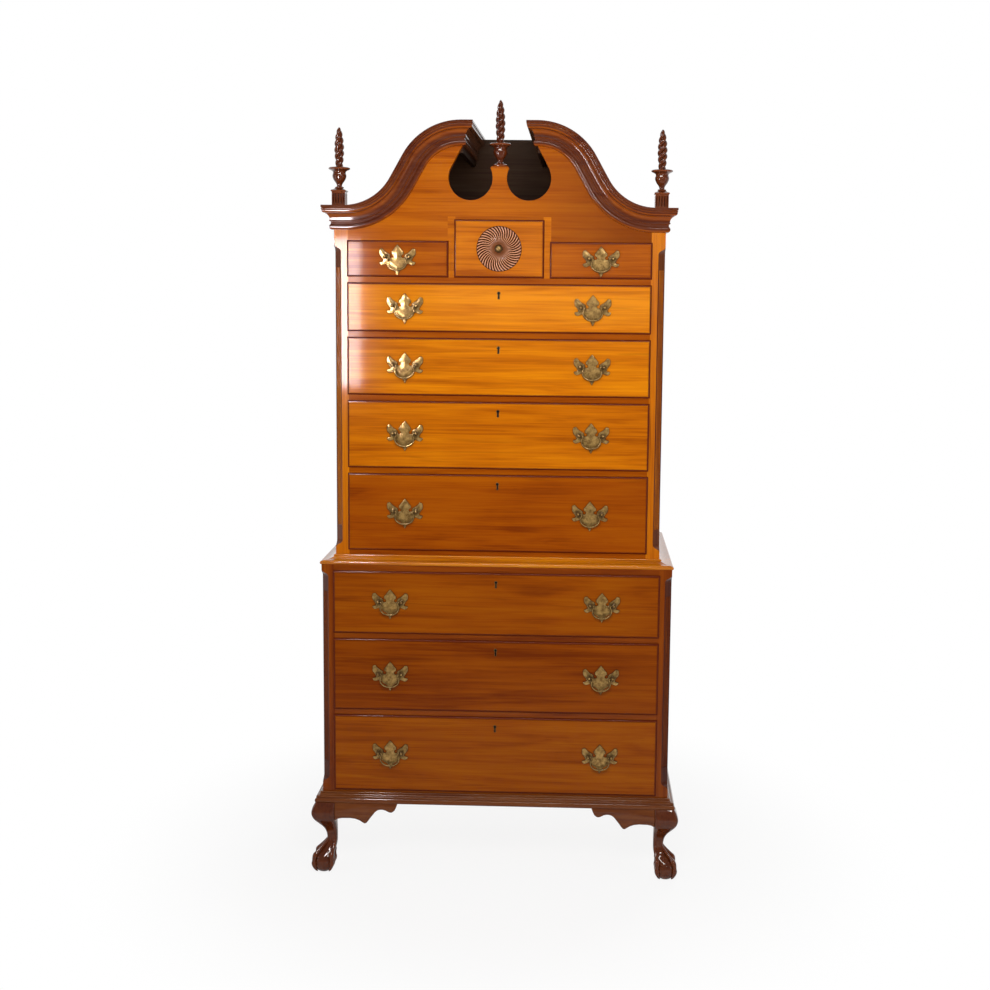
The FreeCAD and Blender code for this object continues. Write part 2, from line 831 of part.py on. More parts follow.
def toe(middle, centre, radius, angle):
    """One toe over the ball: a bent finger, a knuckle where it bends and a claw."""
    turn = Rotation(Vector(0, 0, 1), angle)

    def at(out, level):
        return Vector(middle, middle, 0) + turn.multVec(Vector(out, 0, 0)) + Vector(0, 0, level)

    finger = 0.21 * radius
    root = at(0.35 * radius, centre + 1.45 * radius)
    knuckle = at(0.97 * radius, centre + 0.62 * radius)
    end = at(1.07 * radius, centre - 0.22 * radius)
    path = Part.Wire([Part.Arc(root, knuckle, end).toShape()])
    start = path.Edges[0].tangentAt(path.Edges[0].FirstParameter)
    section = Part.Wire([Part.makeCircle(finger, root, start)])
    pipe = path.makePipeShell([section], True, False)
    bump = Part.makeSphere(1.3 * finger, knuckle)
    tip = at(0.78 * radius, centre - 0.86 * radius)
    claw = Part.makeCone(
        1.15 * finger, 0.4 * finger, end.distanceToPoint(tip), end, tip - end
    )
    joint = Part.makeSphere(1.15 * finger, end)
    return [pipe, bump, joint, claw]


leg = feature("leg", leg_shape())


def foot(name, source, side, rear):
    """A leg at a corner: the rear ones stand as far in as their knees reach, clear of the wall."""
    corner = (back - S.base_reach - S.knee_reach) if rear else face_lower
    turn = {(1, True): 0, (-1, True): 90, (-1, False): 180, (1, False): 270}[(side, rear)]
    return copy_of(source, name, lower_half * side, corner, 0, turn)


node("front_left_foot", foot("front_left_leg", leg, -1, False))
node("front_right_foot", foot("front_right_leg", leg, 1, False))
node("rear_feet", *[foot(f"rear_{word(side)}_leg", leg, side, True) for side in SIDES])


def bracket_master():
    """A scalloped knee bracket: x runs along the moulding from the leg, z down from the case."""
    long = float(S.bracket_length) / 185
    body = new_body("knee_bracket")
    sketch = sketch_on(body, "XZ_Plane", "knee_bracket_outline", -S.bracket_board / 2)
    shape = Outline(0, 0).line(0, -56).through((9 * long, -51), (20 * long, -49))
    shape.line(45 * long, -48.5).through((59 * long, -50.3), (72 * long, -55))
    shape.through((87 * long, -64.5), (97 * long, -57)).line(112 * long, -37)
    shape.through((118 * long, -29), (126 * long, -22.5)).through((141 * long, -20.5), (157 * long, -27))
    shape.through((167 * long, -29.5), (176 * long, -23)).through((182 * long, -11), (185 * long, 0))
    shape.close().into(sketch)
    pad(body, sketch, S.bracket_board, "knee_bracket_board")
    return body


bracket = bracket_master()
bracket_out = S.base_reach - S.bracket_board / 2 - 2
front_inner = face_lower + S.foot_inset
rear_inner = back - S.base_reach - S.knee_reach - S.foot_inset
side_inner = lower_half - S.foot_inset
brackets = []
for side in SIDES:
    turn = 180 if side > 0 else 0
    name = word(side) + "_bracket_"
    brackets += [
        copy_of(bracket, name + "front", side_inner * side, face_lower - bracket_out, case_bottom, turn),
        copy_of(bracket, name + "side", (lower_half + bracket_out) * side, front_inner, case_bottom, 90),
        copy_of(bracket, name + "rear", (lower_half + bracket_out) * side, rear_inner, case_bottom, -90),
    ]
node("knee_brackets", *brackets)

# ---------------------------------------------------------------------------------------------
# Swan-neck crown, scroll board and bonnet
# ---------------------------------------------------------------------------------------------


SCROLL_SLOPE = 60.7
scroll_start = upper_half + S.plinth_out - S.plinth


class Scroll:
    """The right-hand underside line of the crown: level, hollow bend, slope, round bend.

    An offset is measured square to the line, upward.  The turn is 0 where the line is level and
    steepest on the slope, which touches both bends.  The hollow bend takes the radius that lets the
    slope keep its steepness between the level part and the gap."""

    def __init__(self):
        self.steepest = math.radians(SCROLL_SLOPE)
        across = float(scroll_start - S.gap_half) * math.sin(self.steepest)
        rise = float(S.scroll_rise) * math.cos(self.steepest)
        both_radii = (across - rise) / (1 - math.cos(self.steepest))
        self.high_radius = float(S.scroll_high_radius)
        self.low_radius = both_radii - self.high_radius
        self.low_centre = Vector(float(scroll_start), 0, float(crown_bottom) + self.low_radius)
        self.high_centre = Vector(float(S.gap_half), 0, float(scroll_top) - self.high_radius)

    def normal(self, turn):
        return Vector(math.sin(turn), 0, math.cos(turn))

    def low_point(self, turn, offset):
        return self.low_centre - self.normal(turn) * (self.low_radius - offset)

    def high_point(self, turn, offset):
        return self.high_centre + self.normal(turn) * (self.high_radius + offset)

    def follow(self, outline, side, offset, upward=True):
        """Adds the bends and the slope to an outline, from the level part to the gap or back."""
        low = [self.low_point(self.steepest * part, offset) for part in (0, 0.5, 1)]
        high = [self.high_point(self.steepest * part, offset) for part in (1, 0.5, 0)]
        if not upward:
            low, high = high[::-1], low[::-1]
        for first, middle, last in (low, high):
            outline.line(side * first.x, first.z)
            outline.through((side * middle.x, middle.z), (side * last.x, last.z))
        return outline


scroll = Scroll()


def crown_profile():
    """The crown's section: torus, band, fillet, hollow, cyma, bead and fascia.

    They are in 32nds of the reach and 69ths of the height."""
    out = float(S.crown_reach) / 32
    up = float(S.crown_height) / 69
    shape = Outline(0, 0).line(7 * out, up)
    shape.through((11.7 * out, 8 * up), (8.8 * out, 15.5 * up)).line(7.6 * out, 16 * up)
    shape.line(7.6 * out, 23.2 * up).line(11.5 * out, 24.2 * up).line(11.5 * out, 27.2 * up)
    shape.line(10 * out, 28 * up).through((12.4 * out, 37.5 * up), (19 * out, 45 * up))
    shape.line(21 * out, 45.5 * up).line(21 * out, 47.5 * up)
    shape.through((27.6 * out, 49 * up), (30 * out, 54.5 * up)).line(30 * out, 56.5 * up)
    shape.through((31.4 * out, 58.4 * up), (30 * out, 60.3 * up)).line(30 * out, 61.5 * up)
    shape.line(32 * out, 62.5 * up).line(32 * out, 69 * up).line(0, 69 * up)
    return shape.close()


def swan_neck():
    """The right-hand crown across the front, mitred at both ends."""
    profile = crown_profile()
    face = float(face_upper)
    level = float(crown_bottom)
    start = float(scroll_start)
    end = float(S.gap_half)
    shift = Vector(0, face, 0)
    outer = moulding_run(
        profile, Vector(start, face, level), FRONTWARD, Vector(1, 0, 0),
        (0, 0), (float(upper_half) - start, 1),
    )
    slope_up = scroll.normal(scroll.steepest)
    foot_point = scroll.low_point(scroll.steepest, 0)
    head_point = scroll.high_point(scroll.steepest, 0)
    slope = moulding_run(
        profile, foot_point + shift, FRONTWARD, (head_point - foot_point).normalize(),
        (0, 0), (foot_point.distanceToPoint(head_point), 0), slope_up,
    )
    tip = moulding_run(
        profile, Vector(end, face, float(scroll_top)), FRONTWARD, Vector(-1, 0, 0), (0, 0), (0, 1),
    )
    degrees = math.degrees(scroll.steepest)
    across = Vector(0, 1, 0)
    hollow = bend(profile, foot_point + shift, slope_up, scroll.low_centre + shift, across, -degrees)
    crest = bend(profile, head_point + shift, slope_up, scroll.high_centre + shift, across, -degrees)
    return fused([outer, hollow, slope, crest, tip])


def bend(profile, spot, up, centre, axis, degrees):
    """A stretch of crown turned about the middle of its bend."""
    return moulding_section(profile, spot, FRONTWARD, up).revolve(centre, axis, degrees)


right_neck = feature("right_swan_neck", swan_neck())
crown_runs = [right_neck, mirrored(right_neck, "left_swan_neck")]
for side in SIDES:
    outer_return = moulding_run(
        crown_profile(),
        Vector(side * float(upper_half), float(face_upper), float(crown_bottom)),
        Vector(side, 0, 0), BACKWARD, (0, -1), (float(S.upper_depth), 0),
    )
    crown_runs.append(feature(word(side) + "_outer_return", outer_return))
    inner_return = moulding_run(
        crown_profile(),
        Vector(side * float(S.gap_half), float(face_upper), float(scroll_top)),
        Vector(-side, 0, 0), BACKWARD, (0, -1), (float(S.upper_depth - S.back_board), 0),
    )
    crown_runs.append(feature(word(side) + "_inner_return", inner_return))
node("cornice_mouldings", *crown_runs)


def tympanum_outline():
    """The scroll board: notched over the drawers, scrolled above and cut by two round openings."""
    eye_x = float(S.eye_offset)
    eye_z = float(eye_level)
    radius = float(S.eye_radius)
    gap = float(S.gap_half)
    top = float(scroll_top)
    reach = Vector(gap - eye_x, top - eye_z, 0)
    touch = math.atan2(reach.y, reach.x) - math.acos(radius / reach.Length)
    neck = math.pi - math.asin((float(S.neck_rise) - 4) / radius)
    low = (touch + neck - 2 * math.pi) / 2

    def rim(side, angle):
        return side * (eye_x + radius * math.cos(angle)), eye_z + radius * math.sin(angle)

    half = float(upper_opening_half)
    slot = float(centre_top + S.divider_rise)
    notch = float(centre_top)
    inner = float(centre_half)
    outer = float(divider_outer)
    foot_level = float(corner_top)
    crown = float(roof_under)
    start = float(scroll_start)
    shape = Outline(-inner, notch).line(inner, notch).line(inner, slot).line(outer, slot)
    shape.line(outer, foot_level).line(half, foot_level)
    shape.line(half, float(crown_bottom) + crown).line(start, float(crown_bottom) + crown)
    scroll.follow(shape, 1, crown)
    shape.line(gap, top).line(*rim(1, touch)).through(rim(1, low), rim(1, neck))
    flat = float(S.neck_half)
    shape.line(flat, float(neck_top)).line(-flat, float(neck_top)).line(*rim(-1, neck))
    shape.through(rim(-1, low), rim(-1, touch)).line(-gap, top).line(-gap, top + crown)
    scroll.follow(shape, -1, crown, upward=False)
    shape.line(-half, float(crown_bottom) + crown).line(-half, foot_level)
    shape.line(-outer, foot_level).line(-outer, slot).line(-inner, slot)
    return shape.close()


scroll_board = new_body("tympanum_board")
tympanum_sketch = sketch_on(scroll_board, "XZ_Plane", "tympanum_outline", -(face_upper + S.tympanum_board))
tympanum_outline().into(tympanum_sketch)
pad(scroll_board, tympanum_sketch, S.tympanum_board, "tympanum_thickness")
node("tympanum", scroll_board)


def roof_outline(side):
    """The bent roof over one half of the bonnet."""
    under = float(roof_under)
    over = float(S.crown_height)
    level = float(crown_bottom)
    half = float(upper_half)
    gap = float(S.gap_half)
    shape = Outline(side * half, level + under)
    scroll.follow(shape, side, under)
    shape.line(side * gap, float(scroll_top) + over)
    scroll.follow(shape, side, over, upward=False)
    return shape.line(side * half, level + over).close()


bonnet = []
fascia_drop = 17
for side in SIDES:
    roof = new_body(word(side) + "_roof")
    sketch = sketch_on(roof, "XZ_Plane", word(side) + "_roof_outline", -back)
    roof_outline(side).into(sketch)
    pad(roof, sketch, S.upper_depth, word(side) + "_roof_length")
    low, width = side_span(side, S.gap_half, S.gap_half + S.roof_board)
    inner_wall = board(
        word(side) + "_inner_wall",
        (low, face_upper + S.tympanum_board, scroll_top - fascia_drop),
        (width, back_inner - face_upper - S.tympanum_board, roof_under + fascia_drop),
    )
    bonnet += [roof, inner_wall]
node("bonnet_boards", *bonnet)


def bonnet_back_outline():
    """The back of the bonnet: scrolled under the roof and level across the gap."""
    under = float(roof_under)
    top = float(scroll_top + S.crown_height)
    level = float(crown_bottom) + under
    half = float(upper_case.inner_half)
    shape = Outline(-half, float(board_top)).line(half, float(board_top)).line(half, level)
    scroll.follow(shape, 1, under)
    shape.line(float(S.gap_half), top).line(-float(S.gap_half), top)
    scroll.follow(shape, -1, under, upward=False)
    return shape.line(-half, level).close()


bonnet_back = new_body("bonnet_back")
bonnet_back_sketch = sketch_on(bonnet_back, "XZ_Plane", "bonnet_back_outline", -back)
bonnet_back_outline().into(bonnet_back_sketch)
pad(bonnet_back, bonnet_back_sketch, S.back_board, "bonnet_back_thickness")
node("upper_back_boards", *back_boards(upper_case, board_top, 3), bonnet_back)

# ---------------------------------------------------------------------------------------------
# Flame finials
# ---------------------------------------------------------------------------------------------

FLAME_TURN = 67.0
LOBES = 3


def cup_wire(base, disc):
    """Half the section of a finial's turned part, from its foot up to the lip of its cup."""
    rim = float(S.rim_radius)
    low = base + (9 if disc else 0)
    shape = Outline(0, base)
    if disc:
        shape.line(19, base).through((20, base + 4), (19, base + 8)).line(8, base + 9)
    else:
        shape.line(9, base)
    shape.through((7.3, low + 6), (8.5, low + 11)).through((19.5, low + 29), (17.5, low + 42))
    shape.line(17.5, low + 44).through((21, low + 48), (rim - 2, low + 50))
    shape.through((rim, low + 54.5), (rim - 2, low + 59)).line(11, low + 60).line(0, low + 60)
    return shape.close().wire(), low + 60


def flame_section(level, radius, turn):
    """A level section of the flame: a closed curve with three rounded lobes."""
    points = []
    for step in range(LOBES * 4):
        angle = 2 * math.pi * step / (LOBES * 4)
        reach = radius * (0.80 + 0.20 * math.cos(LOBES * angle))
        points.append(Vector(reach * math.cos(angle + turn), reach * math.sin(angle + turn), level))
    curve = Part.BSplineCurve()
    curve.interpolate(points, True)
    return Part.Wire([curve.toShape()])


def finial_shape(height, disc):
    """A cup with a flame that rises from it in a right-handed twist; its foot is at the origin."""
    wire, lip = cup_wire(0, disc)
    wire.rotate(Vector(), Vector(1, 0, 0), 90)
    cup = Part.Face(wire).revolve(Vector(), Vector(0, 0, 1), 360)
    rise = float(height) - lip
    sections = []
    steps = 16
    for step in range(steps + 1):
        part = step / steps
        swell = 10 + 6.6 * math.sin(math.pi * min(1, part * 1.25)) if part < 0.4 else 16.6
        taper = swell * (1 - max(0, (part - 0.4) / 0.6) ** 1.5)
        turn = 2 * math.pi * rise * part / FLAME_TURN
        sections.append(flame_section(lip - 2 + (rise + 2) * part, max(taper, 0.8), turn))
    flame = Part.makeLoft(sections, True, False)
    return fused([cup, flame])


def plinth_shape():
    """A square plinth with four flutes in each face, its foot at the origin."""
    half = float(S.plinth) / 2
    height = float(S.plinth_height)
    block = Part.makeBox(half * 2, half * 2, height, Vector(-half, -half, 0))
    cuts = []
    for turn in range(4):
        for flute in range(4):
            hollow = Part.makeCylinder(2, height - 10, Vector((flute - 1.5) * 8, -half - 0.6, 5))
            hollow.rotate(Vector(), Vector(0, 0, 1), 90 * turn)
            cuts.append(hollow)
    return block.cut(cuts)


def cap_shape():
    """The plinth's cap: a square slab with a hollow above it."""
    half = float(S.plinth) / 2 + 2.5
    height = float(S.plinth_cap)

    def square(reach, level):
        return Part.makePolygon(
            [Vector(reach * a, reach * b, level) for a, b in ((-1, -1), (1, -1), (1, 1), (-1, 1), (-1, -1))]
        )

    levels = [(half - 1.5, 0), (half, 2), (half, 5.5), (half - 4, 6.5), (half - 8, 9), (half - 9, height)]
    return Part.makeLoft([square(reach, level) for reach, level in levels], True, True)


side_finial = feature("side_finial", finial_shape(S.finial_height, False))
plinth = feature("plinth", plinth_shape())
cap = feature("plinth_cap_block", cap_shape())
plinth_x = upper_half + S.plinth_out - S.plinth / 2
plinth_y = face_upper + S.plinth / 2
roof_level = crown_bottom + S.crown_height
for side in SIDES:
    name = word(side) + "_finial"
    spot = (plinth_x * side, plinth_y)
    node(
        name,
        copy_of(plinth, name + "_plinth", *spot, roof_level),
        copy_of(cap, name + "_cap", *spot, roof_level + S.plinth_height),
        copy_of(side_finial, name + "_flame", *spot, roof_level + S.plinth_height + S.plinth_cap),
    )
centre_finial = feature("centre_finial_turning", finial_shape(S.centre_finial_height, True))
place(centre_finial, 0, face_upper + S.tympanum_board, neck_top)
finial_block = board(
    "centre_finial_block",
    (-20, face_upper + S.tympanum_board, neck_top - 44),
    (40, S.tympanum_board, 44),
)
node("centre_finial", centre_finial, finial_block)

# ---------------------------------------------------------------------------------------------
# Brasses
# ---------------------------------------------------------------------------------------------

SHANK = 2.8


def plate_outline():
    """A bat-wing plate seen from the front, about the middle of its two posts."""
    k = float(S.plate_width) / 104
    right = [
        ("line", (16.5, 15)), ("arc", (17.5, 10), (13.5, 6)), ("arc", (11.5, 3.5), (20, 5)),
        ("line", (27, 10)), ("arc", (36.5, 16.5), (43, 24)), ("line", (50, 22.5)),
        ("arc", (52, 12.5), (50.5, 4.5)), ("arc", (44.5, -2.5), (41, -9)), ("line", (42, -12.5)),
        ("line", (51.5, -15)), ("arc", (49, -20.5), (43, -23.5)), ("line", (29, -18.5)),
        ("arc", (22, -27), (12.5, -33)), ("line", (7.5, -37.5)), ("line", (0, -52.5)),
    ]
    shape = Outline(0, 35 * k)
    for kind, *points in right:
        scaled = [(x * k, z * k) for x, z in points]
        if kind == "line":
            shape.line(*scaled[0])
        else:
            shape.through(*scaled)
    ends = [(0, 35)] + [step[-1] for step in right]
    for (kind, *points), (x, z) in reversed(list(zip(right, ends))):
        if kind == "line":
            shape.line(-x * k, z * k)
        else:
            shape.through((-points[0][0] * k, points[0][1] * k), (-x * k, z * k))
    return shape


def make_plate():
    """The plate, with its back on the drawer's front at the body's origin."""
    body = new_body("bat_wing_plate")
    sketch = sketch_on(body, "XZ_Plane", "plate_outline")
    plate_outline().into(sketch)
    pad(body, sketch, S.plate_board, "plate_sheet")
    holes = sketch_on(body, "XZ_Plane", "plate_holes")
    for side in SIDES:
        circle(holes, S.post_spacing / 2 * side, 0, SHANK + S.seat_play)
    pocket(body, holes, S.plate_board * 3, "plate_post_holes", midplane=True)
    return body


through_front = S.front_board + S.seat_play
pivot_reach = S.plate_board + S.pull_reach


def make_post():
    """A pull's post: a flange, a neck and a round head on a shank with a nut behind the front."""
    body = new_body("pull_post")
    sketch = sketch_on(body, "XY_Plane", "post_section")
    plate = -float(S.plate_board)
    pivot = -float(pivot_reach)
    end = float(through_front) + 6
    shape = Outline(0, end).line(SHANK, end).line(SHANK, plate).line(6.2, plate)
    neck = 3.4
    head = 5.6
    shape.line(5.4, plate - 1.6).line(neck, plate - 2.6).line(neck, pivot + math.sqrt(head**2 - neck**2))
    shape.through((head, pivot), (0, pivot - head)).close().into(sketch)
    turned = body.newObject("PartDesign::Revolution", "post_turning")
    turned.Profile = sketch
    turned.ReferenceAxis = (sketch, ["V_Axis"])
    turned.Angle = 360
    cross = sketch_on(body, "YZ_Plane", "post_eye")
    circle(cross, -pivot_reach, 0, S.bail_pin / 2 + S.pin_play)
    pocket(body, cross, 30, "post_pin_hole", midplane=True)
    return body


def make_nut():
    """A square nut on a shank, with its front at the body's origin."""
    body = new_body("square_nut")
    sketch = sketch_on(body, "XZ_Plane", "nut_outline")
    rectangle(sketch, -6.5, 6.5, -6.5, 6.5)
    circle(sketch, 0, 0, SHANK + S.pin_play)
    pad(body, sketch, 4, "nut_block", back_way=True)
    return body


def bail_shape():
    """A bail that hangs from its pivot line through the origin, drawn along its middle line."""
    drop = float(S.bail_drop)
    wire = float(S.bail_wire) / 2
    right = [(24.3, -1.6), (23.4, -5), (26.3, -10), (27.2, -17), (23.6, -27), (13.6, -34.9)]
    points = [Vector(x, 0, z * drop / 37) for x, z in right] + [Vector(0, 0, -drop)]
    points += [Vector(-point.x, 0, point.z) for point in reversed(points[:-1])]
    curve = Part.BSplineCurve()
    curve.interpolate(points)
    path = Part.Wire([curve.toShape()])
    section = Part.Wire([Part.makeCircle(wire, points[0], curve.tangent(0)[0])])
    parts = [path.makePipeShell([section], True, False)]
    pin_end = float(S.post_spacing) / 2 + 4
    for side in SIDES:
        shoulder = Vector(side * 24.6, 0, -0.4)
        parts.append(Part.makeSphere(wire * 1.05, shoulder))
        pin = Part.makeCylinder(
            float(S.bail_pin) / 2, pin_end - 24, Vector(side * 24, 0, 0), Vector(side, 0, 0)
        )
        parts.append(pin)
    return fused(parts)


def make_knob():
    """The carved drawer's knob on its shank."""
    body = new_body("knob")
    sketch = sketch_on(body, "XY_Plane", "knob_section")
    radius = float(S.knob_width) / 2
    end = float(through_front) + 6
    seat = ROSETTE_BOSS
    neck = 5.5
    middle = seat - 6 - radius
    shape = Outline(0, end).line(SHANK, end).line(SHANK, seat).line(7.5, seat).line(6, seat - 2)
    shape.through((4.6, seat - 4), (neck, middle + math.sqrt(radius**2 - neck**2)))
    shape.through((radius, middle), (0, middle - radius)).close().into(sketch)
    turned = body.newObject("PartDesign::Revolution", "knob_turning")
    turned.Profile = sketch
    turned.ReferenceAxis = (sketch, ["V_Axis"])
    turned.Angle = 360
    return body


ROSETTE_BOSS = 1.0

plate_master = make_plate()
post_master = make_post()
nut_master = make_nut()
bail_master = feature("bail", bail_shape())
knob_master = make_knob()

# ---------------------------------------------------------------------------------------------
# Drawers
# ---------------------------------------------------------------------------------------------


class Drawer:
    """Where a drawer's opening is, and what is fixed to the drawer's front."""

    def __init__(self, name, face, low_x, high_x, levels, pulls=(), keyed=False):
        self.name = name
        self.face = face
        self.low_x = low_x
        self.high_x = high_x
        self.bottom, self.top = levels
        self.middle_x = (low_x + high_x) / 2
        self.middle_z = (self.bottom + self.top) / 2
        self.half_width = (high_x - low_x) / 2
        self.half_height = (self.top - self.bottom) / 2
        self.pulls = pulls
        self.keyed = keyed
        self.box_half = self.half_width - S.side_play
        self.box_bottom = self.bottom + S.seat_play
        self.box_top = self.top - S.top_play
        self.front_plane = face - S.seat_play - S.lip_proud
        self.front_back = self.front_plane + through_front
        self.depth = back_inner - S.behind_drawer - self.front_back


def lip_edges(pad_feature):
    """The four edges round the front of a drawer's lip."""
    doc.recompute()
    edges = pad_feature.Shape.Edges
    front = min(edge.BoundBox.YMin for edge in edges)
    return [f"Edge{n}" for n, edge in enumerate(edges, start=1) if edge.BoundBox.YMax < front + 0.01]


def keyhole(sketch, level):
    """A keyhole: a round hole with a slot under it."""
    shape = Outline(-1.7, level - 9).line(1.7, level - 9).line(1.7, level + 2.6)
    shape.through((0, level + 9), (-1.7, level + 2.6)).close()
    shape.into(sketch)


def drawer_front(drawer):
    """A lipped front with a rounded edge round a raised field, bored for its brasses; its origin is
    in the opening's middle, in the plane of the lip's back."""
    name = drawer.name + "_front"
    body = new_body(name)
    over = S.lip_overlap
    lip = sketch_on(body, "XZ_Plane", name + "_lip")
    rectangle(
        lip, -(drawer.half_width + over), drawer.half_width + over,
        -(drawer.half_height + over), drawer.half_height + over,
    )
    lip_pad = pad(body, lip, S.lip_proud - S.lip_step, name + "_lip_board")
    edges = lip_edges(lip_pad)
    rounding = body.newObject("PartDesign::Fillet", name + "_rounding")
    rounding.Base = (lip_pad, edges)
    rounding.setExpression("Radius", S.lip_round.text)
    field = sketch_on(body, "XZ_Plane", name + "_field")
    inset = S.field_inset - over
    rectangle(
        field, inset - drawer.half_width, drawer.half_width - inset,
        inset - drawer.half_height, drawer.half_height - inset,
    )
    pad(body, field, S.lip_proud, name + "_field_board")
    tongue = sketch_on(body, "XZ_Plane", name + "_tongue")
    rectangle(
        tongue, -drawer.box_half, drawer.box_half,
        S.seat_play - drawer.half_height, drawer.half_height - S.top_play,
    )
    pad(body, tongue, through_front - S.lip_proud, name + "_tongue_board", back_way=True)
    holes = sketch_on(body, "XZ_Plane", name + "_holes")
    for pull in drawer.pulls:
        for side in SIDES:
            circle(holes, pull + S.post_spacing / 2 * side, S.pull_rise, SHANK + S.seat_play)
    if drawer.keyed:
        keyhole(holes, float(drawer.half_height + over - S.key_drop))
    if not drawer.pulls:
        circle(holes, 0, 0, SHANK + S.seat_play)
    pocket(body, holes, S.front_board * 3, name + "_bores", midplane=True)
    if not drawer.pulls:
        carve_pinwheel(body, name)
    return place(body, drawer.middle_x, drawer.face - S.seat_play, drawer.middle_z)


def carve_pinwheel(body, name):
    """A dished pinwheel: a hollow ring round a low boss, cut by blades that swirl outward."""
    radius = float(S.rosette_radius)
    deep = float(S.rosette_depth)
    front = -float(S.lip_proud)
    dish = sketch_on(body, "XY_Plane", name + "_dish")
    shape = Outline(0, front - 2).line(radius, front - 2).line(radius, front)
    shape.through((radius * 0.9, front + deep * 0.75), (radius * 0.72, front + deep))
    shape.through((radius * 0.4, front + deep * 0.6), (8, front + ROSETTE_BOSS))
    shape.line(0, front + ROSETTE_BOSS).close().into(dish)
    hollow = body.newObject("PartDesign::Groove", name + "_hollow")
    hollow.Profile = dish
    hollow.ReferenceAxis = (dish, ["V_Axis"])
    hollow.Angle = 360
    blade = sketch_on(body, "XZ_Plane", name + "_blade", S.lip_proud)

    def at(reach, degrees):
        angle = math.radians(degrees)
        return radius * reach * math.cos(angle), radius * reach * math.sin(angle)

    cut = Outline(*at(0.5, 0)).through(at(0.74, 1), at(0.97, 14))
    cut.through(at(0.985, 16.2), at(0.97, 18.4)).through(at(0.74, 6), at(0.5, 0))
    cut.into(blade)
    first = pocket(body, blade, S.rosette_depth + 1.6, name + "_first_blade")
    wheel = body.newObject("PartDesign::PolarPattern", name + "_blades")
    wheel.Originals = [first]
    wheel.Axis = (blade, ["N_Axis"])
    wheel.Angle = 360
    wheel.setExpression("Occurrences", "Sizes.rosette_blades")
    body.Tip = wheel


def drawer_box(drawer):
    """The sides, back and bottom of a drawer, behind its front."""
    name = drawer.name
    start = drawer.front_back
    height = drawer.box_top - drawer.box_bottom
    inner = drawer.box_half - S.drawer_side
    boards = []
    for side in SIDES:
        low, width = side_span(side, inner, drawer.box_half)
        boards.append(
            board(
                f"{name}_{word(side)}_side",
                (drawer.middle_x + low, start, drawer.box_bottom),
                (width, drawer.depth, height),
            )
        )
    low_x = drawer.middle_x - inner
    boards.append(
        board(
            name + "_back",
            (low_x, start + drawer.depth - S.drawer_side, drawer.box_bottom),
            (inner * 2, S.drawer_side, height),
        )
    )
    boards.append(
        board(
            name + "_bottom",
            (low_x, start, drawer.box_bottom + S.bottom_rise),
            (inner * 2, drawer.depth - S.drawer_side, S.drawer_bottom),
        )
    )
    return boards


def brasses(drawer):
    """Everything of brass that is fixed to a drawer, and its bails, which turn."""
    name = drawer.name
    fixed = []
    level = drawer.middle_z + S.pull_rise
    for number, pull in enumerate(drawer.pulls):
        hand = "" if len(drawer.pulls) == 1 else "_" + word(number - 0.5)
        middle = drawer.middle_x + pull
        fixed.append(
            copy_of(plate_master, f"{name}{hand}_plate", middle, drawer.front_plane, level)
        )
        for side in SIDES:
            where = middle + S.post_spacing / 2 * side
            tag = f"{name}{hand}_{word(side)}"
            fixed.append(copy_of(post_master, tag + "_post", where, drawer.front_plane, level))
            fixed.append(copy_of(nut_master, tag + "_nut", where, drawer.front_back, level))
        bail = copy_of(
            bail_master, f"{name}{hand}_bail_wire", middle, drawer.front_plane - pivot_reach, level
        )
        node(f"{name}{hand}_bail", bail)
    if drawer.keyed:
        lock_top = drawer.box_top - 4
        fixed.append(
            board(
                name + "_lock",
                (drawer.middle_x - 30, drawer.front_back, lock_top - 44),
                (60, 9, 44),
            )
        )
    if not drawer.pulls:
        level = drawer.middle_z
        fixed.append(copy_of(knob_master, name + "_knob", drawer.middle_x, drawer.front_plane, level))
        fixed.append(copy_of(nut_master, name + "_nut", drawer.middle_x, drawer.front_back, level))
    node(name + "_brasses", *fixed)


def pair_of_pulls(half_width):
    reach = half_width + S.lip_overlap - S.pull_edge
    return (-reach, reach)


drawers = []
for case, words in (
    (lower_case, ("bottom", "middle", "top")),
    (upper_case, ("first", "second", "third", "fourth")),
):
    for number, levels in zip(words, case.openings):
        half = case.opening_half
        drawers.append(
            Drawer(f"{case.name}_{number}", case.face, -half, half, levels, pair_of_pulls(half), True)
        )
corner_levels = (top_row, corner_top)
drawers.append(
    Drawer("left_corner", face_upper, -upper_opening_half, -divider_outer, corner_levels, (dim(0),))
)
drawers.append(Drawer("carved", face_upper, -centre_half, centre_half, (top_row, centre_top)))
drawers.append(
    Drawer("right_corner", face_upper, divider_outer, upper_opening_half, corner_levels, (dim(0),))
)

for drawer in drawers:
    node(drawer.name + "_drawer", drawer_front(drawer), *drawer_box(drawer))
    brasses(drawer)

# ---------------------------------------------------------------------------------------------
# Checks and files
# ---------------------------------------------------------------------------------------------

doc.recompute()
for thing in doc.Objects:
    if {"Invalid", "Error"} & set(thing.State):
        raise RuntimeError(f"{thing.Label} did not compute: {thing.State}")

os.makedirs("parts", exist_ok=True)
for name, whole in NODES.items():
    shape = Part.getShape(whole)
    if shape.isNull() or not shape.isValid():
        raise RuntimeError(name + " has no valid shape")
    shape.exportStep(f"parts/{name}.step")
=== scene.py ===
"""Looks of a bonnet-top chest on chest: woods, brasses, flame finials, carved feet and pinwheel."""

import math

import bpy
import numpy as np
from bpy.props import FloatProperty, FloatVectorProperty, IntProperty, PointerProperty
from bpy.types import Operator, Panel, PropertyGroup
from mathutils import Matrix, Vector
from mathutils.geometry import delaunay_2d_cdt


